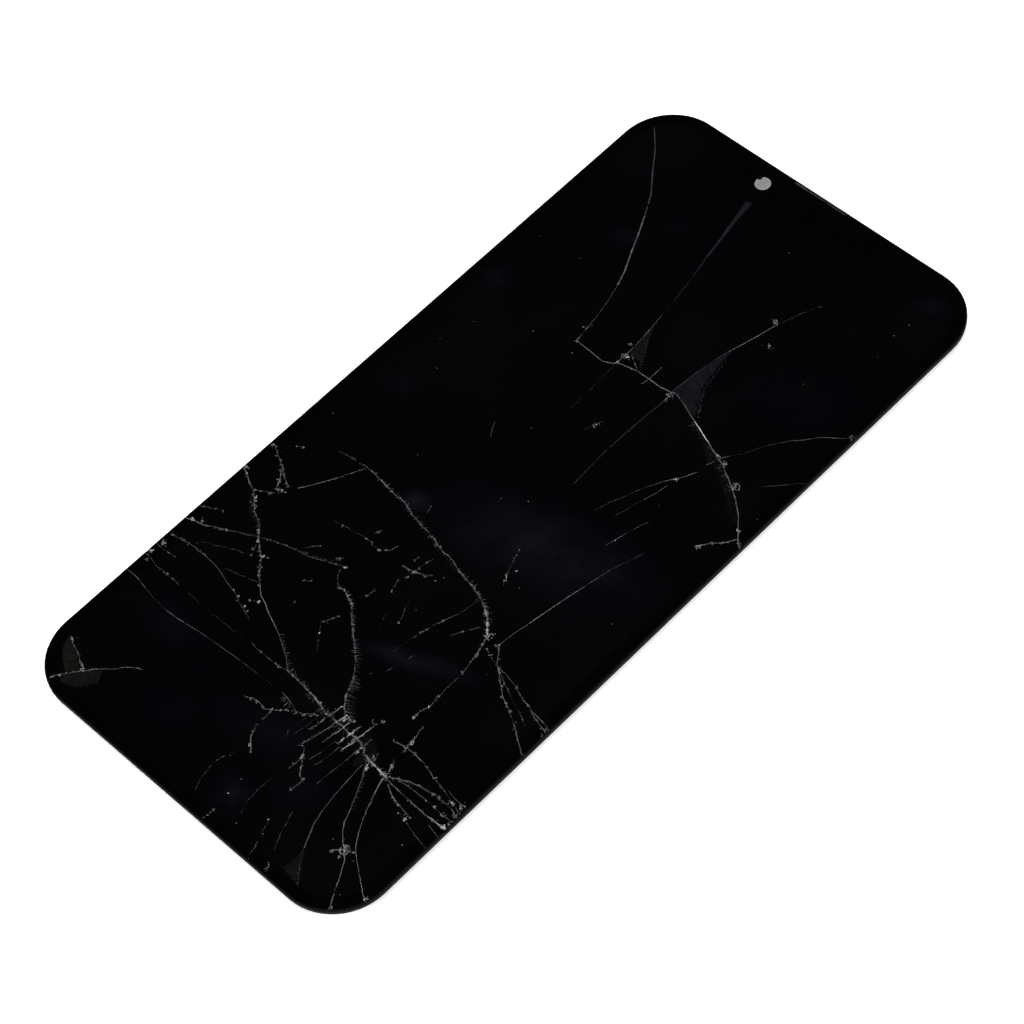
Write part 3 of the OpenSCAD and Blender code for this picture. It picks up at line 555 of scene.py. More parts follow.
        (1, 0.10, 0.08, [(11.9, -49.6), (11.6, -52.4), (11.1, -54.6)]),
        (1, 0.10, 0.08, [(13, -50), (12.9, -52.4), (12.4, -54.9)]),
        (2, 0.12, 0.14, [(8.4, -53.5), (9.1, -53.6), (10, -54.8)]),
        (3, 0.18, 0.14, [(10, -54.8), (11, -56), (12, -57.3), (12.7, -57.6)]),
        (2, 0.12, 0.12, [(12.9, -57.3), (12.7, -59.8)]),
        (2, 0.12, 0.12, [(10, -55), (10, -57.6)]),
        (3, 0.12, 0.14, [(-4, -53.3), (-2.8, -53), (-1.5, -52.8), (0, -52.9), (0.8, -52.4)]),
        (3, 0.14, 0.14, [(0.8, -52.4), (1, -53.5), (0.9, -54.5)]),
        (3, 0.12, 0.18, [(1, -55.8), (1.6, -57.3), (2.7, -58.6), (3.6, -59.1)]),
        (1, 0.10, 0.10, [(2, -60.5), (0.9, -63), (0.8, -65), (1.2, -67), (2.1, -69.2)]),
        (1, 0.10, 0.10, [(9.2, -60), (9, -62.5), (9.2, -65), (10.1, -67.3)]),
        (2, 0.10, 0.10, [(6.5, -69.2), (6.5, -70.5), (6.3, -71.6)]),
        (2, 0.10, 0.12, [(13.8, -65), (14.5, -67), (15.3, -69), (16, -71), (16.4, -71.7)]),
        (1, 0.10, 0.10, [(15.5, -62), (16.2, -64), (17, -66), (18, -68.2)]),
        (2, 0.10, 0.10, [(19, -70), (19.6, -71.5)]),
        (2, 0.10, 0.10, [(5.1, -53), (5.8, -54.3)]),
        (2, 0.12, 0.12, [(5, -49.8), (6, -48.9), (7.3, -48.3)]),
        (2, 0.10, 0.10, [(1, -52.2), (1.9, -51.5), (2.8, -50.8), (3.8, -50.2), (5, -49.8)]),
    ],
    "lower_left_corner": [
        (3, 0.16, 0.20, [(-32, -63.5), (-30.5, -64.3), (-29, -64.7), (-27.5, -65.5), (-26.2, -66)]),
        (3, 0.12, 0.16, [(-19.2, -60.3), (-21, -61.3), (-22.5, -63), (-24, -64.3), (-25.2, -65.5),
                         (-26.2, -66.7)]),
        (3, 0.16, 0.20, [(-26.2, -66.7), (-27, -67.6), (-28.2, -69.1), (-28.8, -70.1)]),
    ],
}
print(sum(len(group) for group in CRACKS.values()), "routes")

# %% [markdown]
# ## Turning a route into a crack
#
# A crack in glass isn't a line of one width. Its two faces are rough, it opens and closes, and it jumps
# sideways by a few hundredths of a millimetre where it meets a flaw. So each route is cut into steps of
# about a fifth of a millimetre, each step is shifted and widened at random, and a grid three points wide
# is laid along it. The middle row is lifted a little, so that each step has two small facets that catch
# the light in their own way.

# %% Sizes of a strip
# In mm: a step along the route, the highest that its middle may rise, how far the sides of a strip and
# the middles of the grains stand out of the glass, and how deep a strip goes into it
STEP, LIFT, SKIN, SINK = 0.22, 0.012, 0.002, 0.05
# In mm, how far a path wanders in slow waves and shakes at each step, and how strongly it swells to beads
WANDER, SHAKE, BEADING = 0.16, 0.035, 1.9
# Shares of a route's width: every strip, the narrowest and widest bead, and a closed place or an end
THIN, NARROWEST, WIDEST, HAIR = 0.8, 0.18, 1.8, 0.25
# How rough the cracks are where they aren't fully crushed, by region
JAGGED = {"upper": 0.15, "right_arc": 0.35, "clean": 0.2, "right_fans": 0.6, "lower_right": 0.4}
# The waves of a path: how many changes a mm, and which layer of the noise they read
WANDERING, BEADS, CLOSING = (0.9, 3.0), (1.7, 21.0), (0.55, 9.0)
print("strips stand at most", LIFT, "mm out of the glass")

# %% Steps along a route


def stretches(route):
    """The length of each straight stretch of a route."""
    return [math.dist(a, b) for a, b in zip(route, route[1:])]


def along(route, step):
    """Points every `step` mm along a route, each with its direction and its share of the way."""
    lengths = stretches(route)
    total = sum(lengths)
    count = max(2, round(total / step))
    made = []
    for i in range(count + 1):
        left = total * i / count
        k = 0
        while k < len(lengths) - 1 and left > lengths[k]:
            left -= lengths[k]
            k += 1
        a, b = Vector(route[k]), Vector(route[k + 1])
        ahead = (b - a).normalized()
        made.append((a + ahead * left, ahead, i / count))
    return made


print("1 mm of crack has", len(along([(0, 0), (1, 0)], STEP)) - 1, "steps")

# %% Laying a grid along a route


def wave(point, changes, layer):
    """A smooth random value from -1 to 1, with about this many changes a mm."""
    return noise.noise(Vector((point.x * changes, point.y * changes, layer)))


def over(place, height):
    """A point above a place on the glass, from mm."""
    return Vector((place.x * MM, place.y * MM, TOP + height * MM))


def sunk(bm):
    """Closes a grid with sides and a floor that lie inside the glass."""
    made = bmesh.ops.extrude_face_region(bm, geom=list(bm.faces))
    lowered = [v for v in made["geom"] if isinstance(v, bmesh.types.BMVert)]
    bmesh.ops.translate(bm, verts=lowered, vec=(0, 0, -SINK * MM))
    bmesh.ops.recalc_face_normals(bm, faces=bm.faces)
    return bm


def ribbon(route, start, end, draw, gaps, jagged):
    """A thin strip of broken glass along a route. gaps is the share of it that closes to a hair, and jagged
    how rough its path is: 1 for a crushed crack, 0 for a clean one."""
    steps = along(route, STEP)
    last = len(steps) - 1
    bm = bmesh.new()
    bmesh.ops.create_grid(bm, x_segments=last, y_segments=2, size=1.0)
    rows = []
    for i, (point, ahead, share) in enumerate(steps):
        across = Vector((-ahead.y, ahead.x))
        wander = wave(point, *WANDERING) * WANDER * jagged
        beads = wave(point, *BEADS) * BEADING * jagged
        width = THIN * (start + (end - start) * share) * (1 + jagged * draw.uniform(-0.65, 0.35))
        width *= min(max(1 + beads, NARROWEST), WIDEST)
        if wave(point, *CLOSING) > 0.5 - gaps:
            width *= HAIR
        if i in (0, last):
            width *= HAIR
        middle = point + across * (wander + jagged * draw.uniform(-SHAKE, SHAKE))
        rows.append((middle, across, width, draw.uniform(0.0, LIFT), draw.uniform(-0.3, 0.3)))
    for vertex in bm.verts:
        side = round(vertex.co.y)
        middle, across, width, lift, lean = rows[round((vertex.co.x + 1) / 2 * last)]
        place = middle + across * width * (side / 2 if side else lean)
        vertex.co = over(place, SKIN if side else lift)
    return sunk(bm)


# %% [markdown]
# ## Broken glass as a material
#
# A fracture face is clear glass, but rough enough to scatter light, so it looks white where much light
# reaches it and grey where the crack is tight. Seven tones stand for how open a crack is and, as painted
# light and shade, for how brightly its face catches the lamps: 5 and 6 are a shaded and a lit copy of the
# clean crack, and 7 is a painted glint. Loose grains and fine crumbs have a tone each. A fine grain varies
# the brightness along each one, as painted glints of tiny facets.

# %% Broken glass in its tones
GLASS_IOR = 1.5
# Besides the painted glints of the facets, painted light and shade changes in patches this wide, in mm
PATCHY = 1.6


def broken_glass(name, dark, light, rough, size=0.25):
    """Frosted fracture faces: painted facet glints as bright specks in a darker ground, `size` mm apart."""
    mat, place = new_material(name)
    facets = grain(mat, place, size, 4.0, 0.65)
    mixed = calc(mat, "ADD", facets, grain(mat, place, PATCHY, 2.0))
    colour = ramp(mat, spread(mat, mixed, 0.8, 1.22, 0, 1), [(0.0, dark), (1.0, light)])
    return coat(mat, {"Base Color": colour, "Roughness": rough, "IOR": GLASS_IOR})


# Each tone's brightness is partly how open or crushed the crack is and partly painted light and shade: how
# brightly that stretch catches the lamps. 5 and 6 are a painted shaded and lit copy of the clean crack, and
# 7 is a painted glint
TONES = {
    1: broken_glass("Broken glass, tight crack", "#030304", "#1d1f21", 0.35),
    2: broken_glass("Broken glass, closed crack", "#060708", "#313334", 0.35),
    3: broken_glass("Broken glass, open crack", "#090a0b", "#474845", 0.4),
    4: broken_glass("Broken glass, crushed", "#1e1f21", "#999893", 0.5),
    5: broken_glass("Broken glass, clean crack, painted shade", "#17181a", "#34363a", 0.35, 1.5),
    6: broken_glass("Broken glass, clean crack", "#282a2b", "#585959", 0.35, 1.5),
    7: broken_glass("Broken glass, painted glint of chips", "#777672", "#c9c8c2", 0.45),
}
grain_glass = broken_glass("Broken glass, loose grains", "#1a1b1d", "#8e8d88", 0.5)
crumb_glass = broken_glass("Broken glass, fine crumbs", "#131416", "#6b6a66", 0.5)
# The share of each tone's cracks that closes to a hair
GAPS = {1: 0.45, 2: 0.3, 3: 0.18, 4: 0.0, 5: 0.05, 6: 0.05, 7: 0.0}
print(len(TONES), "tones of cracks")

# %% The cracks
for region, group in CRACKS.items():
    for tone in TONES:
        draw = random.Random(f"{region} {tone}")
        strips = [
            ribbon(route, start, end, draw, GAPS[tone], JAGGED.get(region, 1.0))
            for t, start, end, route in group if t == tone]
        if strips:
            keep(f"cracks_{region}_{tone}", joined(strips), TONES[tone])

# %% [markdown]
# ## The cover glass
#
# The real sheet is clear glass with black ink round its back and a switched-off black display behind the
# rest. Both look black, but the display lies a little deeper and has a hint of navy. So the sheet is
# opaque here, with two blacks that meet at a rounded outline, and a few very faint prints and smears that
# dull the gloss where a finger touched it. The phone's camera looks through a real hole in it, which a
# small clear disc fills.

# %% Masks for the glass


def outside(mat, place, centre, half, radius):
    """How far a point is outside a rounded rectangle seen from above, in mm; 0 or less is inside."""
    moved = vector_calc(mat, "SUBTRACT", place, (centre[0] * MM, centre[1] * MM, 0))
    scaled = vector_calc(mat, "MULTIPLY", vector_calc(mat, "ABSOLUTE", moved), (1 / MM, 1 / MM, 0))
    beyond = vector_calc(mat, "SUBTRACT", scaled, (half[0] - radius, half[1] - radius, 0))
    reach = vector_calc(mat, "LENGTH", vector_calc(mat, "MAXIMUM", beyond, (0, 0, 0)))
    return calc(mat, "SUBTRACT", reach, radius)


def smear(mat, place, x, y, long, short, angle, strength):
    """A soft oval mark, `strength` at its middle and 0 at its rim. Sizes in mm, angle in degrees."""
    mapped = add(mat, "ShaderNodeMapping", {
        "Vector": place, "Location": (x * MM, y * MM, TOP), "Rotation": (0, 0, math.radians(angle)),
        "Scale": (long * MM, short * MM, 1.0)}, vector_type="TEXTURE").outputs["Vector"]
    oval = add(mat, "ShaderNodeTexGradient", {"Vector": mapped}, gradient_type="SPHERICAL").outputs["Fac"]
    return calc(mat, "MULTIPLY", oval, strength)


# %% Smears on the glass
# (x, y, half length, half width, turn, strength), and the sheen they leave is bluish grey
SMEARS = [
    (12, -6, 24, 9, 14, 0.75), (11, -32.6, 12, 2.2, 22, 1.1), (6.4, -66, 3.6, 4.6, 30, 0.9),
    (27, 65.5, 4, 2.4, 35, 0.6), (-19, 46, 4, 2.6, 20, 0.35), (-14, 53, 3.4, 2.2, 60, 0.35),
    (-30, 27, 3.2, 3, 0, 0.35), (-27, 2, 4, 3, 40, 0.3), (-9, -12.2, 3.2, 2.4, 0, 1.5),
    (-12, -62, 6, 4, 20, 0.35), (24, 40, 12, 7, 30, 0.22), (2, -55, 12, 5, 10, 0.4),
    (-22, -52, 12, 4, -12, 0.3), (14, -58, 5, 6, 0, 0.35),
]
SMEAR_COLOUR = "#0b0c11"
print(len(SMEARS), "smears")

# %% Black glass
# Centre, half size and corner radius in mm: the display's own outline, and the notch in its upper side
SCREEN = (0, 0), (32.5, 69.8), 7.8
NOTCH = (0, 72), (14.0, 6.6), 3.0
# The two blacks run into each other this far to either side of the outline, in mm
SOFT = 0.15
glass_material, glass_place = new_material("Cover glass, black-backed, polished")
marks = smear(glass_material, glass_place, *SMEARS[0])
for mark in SMEARS[1:]:
    marks = calc(glass_material, "ADD", marks, smear(glass_material, glass_place, *mark))
cloud = grain(glass_material, glass_place, 7.0, 5.0, 0.6)
marks = calc(glass_material, "MULTIPLY", marks, spread(glass_material, cloud, 0.35, 0.7, 0.1, 1.2))
screen = outside(glass_material, glass_place, *SCREEN)
notch = outside(glass_material, glass_place, *NOTCH)
border = calc(glass_material, "MAXIMUM", screen, calc(glass_material, "MULTIPLY", notch, -1))
mottle = grain(glass_material, glass_place, 26.0, 3.0)
ink = ramp(glass_material, mottle, [(NOISE_LOW, "#010101"), (NOISE_HIGH, "#010102")])
display = ramp(glass_material, mottle, [(NOISE_LOW, "#010102"), (NOISE_HIGH, "#030304")])
black = blend(glass_material, spread(glass_material, border, -SOFT, SOFT, 1, 0), ink, display)
marked = calc(glass_material, "MINIMUM", marks, 1.0)
wipe = calc(glass_material, "MULTIPLY", grain(glass_material, glass_place, 0.6, 3.0), 0.03)
coat(glass_material, {
    "Base Color": blend(glass_material, marked, black, linear(SMEAR_COLOUR)), "IOR": GLASS_IOR,
    "Roughness": calc(glass_material, "ADD", spread(glass_material, marks, 0, 1, 0.04, 0.16), wipe)})
print("black glass:", len(glass_material.node_tree.nodes), "nodes")

# %% [markdown]
# ### The hole for the phone's camera
#
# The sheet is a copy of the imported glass, grooves and all. A cutter the size of the clear window goes
# through it, and the disc that fills the hole again is thin clear glass: it lets light straight through
# and mirrors a little. The ground side of the sheet is blackened, and it's told apart by where its faces
# lie.

# %% Discs and cuts
WINDOW_X, WINDOW_Y, WINDOW_R = -9.7, 68.0, 1.33
# The window is half a millimetre thick, and its cutter stands out of the glass as much at either end
WINDOW_DEPTH = 0.5 * MM
glass_low, glass_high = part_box("cover_glass")


def disc(x, y, radius, low, high, segments=64):
    """A closed cylinder on (x, y), in mm, between two heights."""
    bm = bmesh.new()
    bmesh.ops.create_cone(
        bm, cap_ends=True, segments=segments, radius1=radius * MM, radius2=radius * MM, depth=high - low)
    bmesh.ops.translate(bm, verts=bm.verts, vec=(x * MM, y * MM, (low + high) / 2))
    return bm


def cut(obj, cutter_mesh):
    """Takes the cutter's shape out of an object, for good."""
    data = bpy.data.meshes.new("cutter")
    cutter_mesh.to_mesh(data)
    cutter_mesh.free()
    cutter = placed("cutter", data)
    step = obj.modifiers.new("cut", "BOOLEAN")
    step.operation, step.object, step.solver = "DIFFERENCE", cutter, "EXACT"
    obj.data = bpy.data.meshes.new_from_object(obj.evaluated_get(bpy.context.evaluated_depsgraph_get()))
    obj.modifiers.clear()
    bpy.data.objects.remove(cutter)
    return obj.data


print("window:", 2 * WINDOW_R, "mm wide")

# %% The glass sheet, cut for the window
sheet_mesh = bmesh.new()
sheet_mesh.from_mesh(nodes["cover_glass"].data)
bmesh.ops.remove_doubles(sheet_mesh, verts=sheet_mesh.verts, dist=1e-6)
sheet = keep("glass_sheet", sheet_mesh, glass_material)
window_cutter = disc(WINDOW_X, WINDOW_Y, WINDOW_R, glass_low.z - WINDOW_DEPTH, glass_high.z + WINDOW_DEPTH)
cut_data = cut(sheet, window_cutter)
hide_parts("cover_glass")
print("glass sheet:", len(cut_data.polygons), "faces after the cut")

# %% Its ground side
# It lies beyond these half sizes, or further than this from the middles of the rounded corners
SIDE_X, SIDE_Y = 34.4 * MM, 71.7 * MM
CORNER_X, CORNER_Y, CORNER_R = 24.9 * MM, 62.2 * MM, 9.4 * MM
# Its faces point less upward than this, and their middles are this far under the top of the glass
LEANING, LOWER = 0.985, 0.004 * MM
edge_material = finish_material(
    "Ground edge of the glass, blackened", "#030304", "#080809", 0.4, (0.45, 0.6), shine=0.03)
cut_data.materials.clear()
cut_data.materials.append(glass_material)
cut_data.materials.append(edge_material)
for polygon in cut_data.polygons:
    x, y = abs(polygon.center.x), abs(polygon.center.y)
    leaning = abs(polygon.normal.z) < LEANING
    lower = polygon.center.z < TOP - LOWER
    side = max(x - SIDE_X, y - SIDE_Y) > 0
    corner = min(x - CORNER_X, y - CORNER_Y) > 0
    far_out = Vector((x - CORNER_X, y - CORNER_Y)).length > CORNER_R
    polygon.material_index = 1 if leaning and lower and (side or (corner and far_out)) else 0
print("ground side:", sum(polygon.material_index for polygon in cut_data.polygons), "faces")

# %% The clear window
window_material, window_place = new_material("Clear camera window, coated glass")
window_coat = grain(window_material, window_place, 0.8)
window_mirror = add(window_material, "ShaderNodeBsdfGlossy", {
    "Color": linear("#ffffff"),
    "Roughness": spread(window_material, window_coat, NOISE_LOW, NOISE_HIGH, 0.02, 0.06)})
window_clear = add(window_material, "ShaderNodeBsdfTransparent", {"Color": linear("#f4f6f6")})
window_share = add(window_material, "ShaderNodeFresnel", {"IOR": 1.35}).outputs["Fac"]
close(window_material, add(window_material, "ShaderNodeMixShader", {
    0: window_share, 1: window_clear.outputs["BSDF"], 2: window_mirror.outputs["BSDF"]}).outputs["Shader"])
window_disc = disc(WINDOW_X, WINDOW_Y, WINDOW_R, glass_high.z - WINDOW_DEPTH, glass_high.z)
window = keep("camera_window", window_disc, window_material)
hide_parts("cover_glass")

# %% [markdown]
# ### The grey disc behind the window, painted shade
#
# A grey disc lies in the window just under its top, so that it shows as an even grey dot from every
# side. Its grey is painted shade: it stands in for the shaded floor seen through the hole. A pip on the
# bracket bites into its rim, towards the top.

# %% Grey disc behind the window, painted shade
BITE_X, BITE_Y, BITE_R = -10.98, 68.66, 0.5
# A paler ring lies this far inside the rim of the window, in mm
PALE_RING = 0.14
film_low, film_high = glass_high.z - 0.12 * MM, glass_high.z - 0.05 * MM
# The pip goes from under the grey disc to just over it, and the cutter for the bite stands out of the disc
pip_low, pip_high = film_low - 0.35 * MM, film_high + 0.01 * MM
bite_low, bite_high = film_low - 0.1 * MM, film_high + 0.1 * MM
shade_disc_material, film_place = new_material("Grey disc, painted shade of the floor under the hole")
film_cloud = grain(shade_disc_material, film_place, 0.5)
ring_r = WINDOW_R - PALE_RING
off_ring = calc(shade_disc_material, "ABSOLUTE", outside(
    shade_disc_material, film_place, (WINDOW_X, WINDOW_Y), (ring_r, ring_r), ring_r))
shade_disc_grey = calc(
    shade_disc_material, "ADD", spread(shade_disc_material, film_cloud, NOISE_LOW, NOISE_HIGH, 0, 0.4),
    spread(shade_disc_material, off_ring, 0.0, PALE_RING, 0.6, 0))
coat(shade_disc_material, {
    "Base Color": ramp(shade_disc_material, shade_disc_grey, [(0.0, "#94938f"), (0.4, "#a1a09d"), (1.0, "#c2c2bf")]),
    "Roughness": spread(shade_disc_material, film_cloud, NOISE_LOW, NOISE_HIGH, 0.55, 0.7)})
film_disc = disc(WINDOW_X, WINDOW_Y, WINDOW_R - 0.01, film_low, film_high, 96)
film = keep("window_shade_disc", film_disc, shade_disc_material)
cut(film, disc(BITE_X, BITE_Y, BITE_R, bite_low, bite_high, 32))
pip_material = finish_material(
    "Bracket pip, moulded black nylon", "#040404", "#0a0a0a", 0.2, (0.6, 0.75), shine=0.1)
pip_disc = disc(BITE_X, BITE_Y, BITE_R, pip_low, pip_high, 32)
keep("bracket_pip", pip_disc, pip_material)

# %% [markdown]
# ### The lip of the earpiece slot
#
# The slot is a notch in the edge of the glass, closed outside by a lip of the frame, so that the edge
# looks whole from above. The ground glass along the inner side of the slot catches the light, which is
# painted as a strip in the lit tone of a clean crack.

# %% Lip and ground side of the slot
SLOT_LEFT, SLOT_RIGHT, SLOT_IN, SLOT_OUT = -6.0, 5.0, 71.4, 72.0
# The lip between its ends, its sides, and its foot and top, in mm, and the radius of its edges
LIP = [(SLOT_LEFT + 0.02, SLOT_RIGHT - 0.02), (SLOT_IN + 0.3, SLOT_OUT - 0.03), (1.82, TOP / MM - 0.06)]
LIP_ROUND = 0.08


def bar(spans, rounding):
    """A closed box between three pairs of planes, with its edges rounded, from mm."""
    bm = bmesh.new()
    bmesh.ops.create_cube(bm, size=1.0)
    bmesh.ops.scale(bm, verts=bm.verts, vec=[(high - low) * MM for low, high in spans])
    bmesh.ops.translate(bm, verts=bm.verts, vec=[(low + high) / 2 * MM for low, high in spans])
    bmesh.ops.bevel(
        bm, geom=bm.edges, offset=rounding * MM, segments=2, profile=0.5, affect="EDGES", material=-1)
    return bm


lip_material = finish_material(
    "Frame lip, moulded black polycarbonate", "#040405", "#0a0a0b", 0.4, (0.4, 0.55), relief=0.003)
keep("earpiece_lip", bar(LIP, LIP_ROUND), lip_material)
# A painted highlight: a strip in the lit tone of a clean crack along the slot's inner side
slot_side = [(SLOT_LEFT + 0.1, SLOT_IN - 0.02), (SLOT_RIGHT - 0.1, SLOT_IN - 0.02)]
slot_strip = ribbon(slot_side, 0.11, 0.08, random.Random("slot"), 0.1, 0.2)
keep("slot_ground_side", joined([slot_strip]), TONES[6])

# %% [markdown]
# ## Hackle: the grey fans beside a crack
#
# Where a crack turned or slowed down, its face slants out under the surface and breaks into fine ridges
# that run away from it. From above it's a grey patch with a sharp side along the crack and a saw-toothed
# side away from it. Each patch is a grid laid between its two sides, with its ridges numbered along the
# crack in a UV map, so that the stripes of the material follow them however the patch bends.

# %% Grey patches
# (brightness, crack side, far side); brightness is one number, or red, green and blue for a warmer grey
PATCHES = [
    (1.0, [(-3.9, 36), (-3.55, 33), (-3.4, 31), (-3.2, 28.9)],
     [(-3.8, 36), (-2.4, 33), (-1.2, 31), (0, 29.0)]),
    (1.25, [(8.8, 39.6), (8, 36), (7.5, 32.5), (7.2, 28.2)],
     [(9.2, 39.6), (9.4, 36), (10.5, 31.2), (13.6, 26.6)]),
    (0.5, [(14, 25.8), (17.5, 24.5), (20.5, 23.4)], [(14, 25.5), (17.5, 23.6), (20.2, 21.5)]),
    (0.4, [(21, 23.2), (24.5, 21.4), (28, 19.3), (31, 16.8)],
     [(20.6, 21.9), (24, 20.4), (27, 18), (30.6, 15.8)]),
    (0.6, [(-30, -27.3), (-28.4, -28.6), (-27, -29.9), (-25.4, -30.7)],
     [(-30, -27.9), (-29, -29.2), (-27.6, -30.4), (-25.5, -31.2)]),
    ((0.88, 0.84, 0.74), [(21.1, -65), (22.2, -66.3), (23.3, -67.9), (24.7, -69.6)],
     [(21.1, -65.5), (21.3, -67.3), (21, -69.4), (24.2, -69.8)]),
    (0.5, [(7.2, -42.5), (8, -44), (9.1, -45.3), (10.3, -46.2)],
     [(7.5, -41.9), (9, -43), (10.4, -44.2), (11.6, -45.4)]),
    (0.6, [(16, -48.4), (16.8, -48.8), (17.6, -49.1)], [(16.2, -50.6), (17, -51.2), (17.8, -51.5)]),
    (0.45, [(14.2, -47.4), (16, -47.7), (17.6, -48.5), (19.4, -48.8)],
     [(14.8, -45.6), (16.4, -46), (17.6, -46.6), (19, -47.6)]),
    (0.3, [(9, -47.7), (12, -47.8), (15.2, -47.8)], [(9, -48.5), (12, -48.9), (15.2, -49.4)]),
    ((1.25, 1.15, 0.8), [(-32.2, -63.8), (-31.5, -65.5), (-30, -67), (-27.9, -68.3)],
     [(-32.1, -63.7), (-30, -64.5), (-28, -65.4), (-26.4, -66.3)]),
    ((1.05, 0.98, 0.8), [(-28.1, -69.2), (-26.9, -67.6), (-25.3, -65.8), (-23.6, -64.5)],
     [(-27.2, -69.9), (-25.5, -69.6), (-24, -68.7), (-22.6, -66.5)]),
    (1.9, [(-9.35, 63.6), (-8.6, 60), (-7.65, 56), (-6.7, 51), (-5.77, 47)],
     [(-8.15, 63.8), (-7.85, 60), (-7.1, 56), (-6.38, 51), (-5.6, 47)]),
]
print(len(PATCHES), "patches")

# %% Ridged glass
hackle_material, _ = new_material("Broken glass, ridged slanting face")
hackle_uv = add(hackle_material, "ShaderNodeUVMap", uv_map="ridges").outputs["UV"]
hackle_rows = add(hackle_material, "ShaderNodeMapping", {"Vector": hackle_uv, "Scale": (9.0, 0.35, 1.0)})
ridges = add(hackle_material, "ShaderNodeTexNoise", {
    "Vector": hackle_rows.outputs["Vector"], "Scale": 1.0, "Detail": 3.0, "Roughness": 0.6}).outputs["Fac"]
hackle_tint = add(hackle_material, "ShaderNodeAttribute", attribute_name="brightness").outputs["Color"]
hackle_colour = ramp(hackle_material, spread(hackle_material, ridges, 0.35, 0.7, 0, 1), [
    (0.0, "#050506"), (0.5, "#0c0d0f"), (1.0, "#191a1c")])
coat(hackle_material, {
    "Base Color": blend(hackle_material, 1.0, hackle_colour, hackle_tint, "MULTIPLY"),
    "Roughness": 0.1, "IOR": GLASS_IOR})
print("ridged glass:", len(hackle_material.node_tree.nodes), "nodes")

# %% Laying the patches
# How wide a ridge is, in mm, and how many steps a patch has from side to side
RIDGE, ACROSS = 0.16, 5


def resample(route, count):
    """count + 1 points at even distances along a route."""
    return [point for point, _, _ in along(route, sum(stretches(route)) / count)]


def patch(near, far, brightness, draw):
    """A grid between two sides of a patch, saw-toothed on the far one."""
    columns = max(6, round(sum(stretches(near)) / RIDGE))
    near_points = resample(near, columns)
    far_points = resample(far, columns)
    bm = bmesh.new()
    bmesh.ops.create_grid(bm, x_segments=columns, y_segments=ACROSS, size=1.0)
    teeth = [draw.uniform(0.82, 1.06) for _ in range(columns + 1)]
    heights = [draw.uniform(0.001, 0.007) for _ in range(columns + 1)]
    uv = bm.loops.layers.uv.new("ridges")
    tint = bm.verts.layers.float_color.new("brightness")
    shade = brightness if isinstance(brightness, tuple) else (brightness,) * 3
    where = {}
    for vertex in bm.verts:
        i = round((vertex.co.x + 1) / 2 * columns)
        share = (vertex.co.y + 1) / 2 * teeth[i]
        where[vertex] = (i * RIDGE, share * (far_points[i] - near_points[i]).length)
        vertex[tint] = (*shade, 1.0)
        vertex.co = over(near_points[i].lerp(far_points[i], share), heights[i])
    for face in bm.faces:
        for loop in face.loops:
            loop[uv].uv = where[loop.vert]
    return sunk(bm)


draw = random.Random("patches")
patches = [patch(near, far, brightness, draw) for brightness, near, far in PATCHES]
keep("ridged_patches", joined(patches), hackle_material)

# %% [markdown]
# ### Feathers
#
# Finer ridges of the same kind stand out from one side of the widest cracks like the barbs of a feather.
# Each is a very short crack of its own, square to the one it grows from and a little swept back.

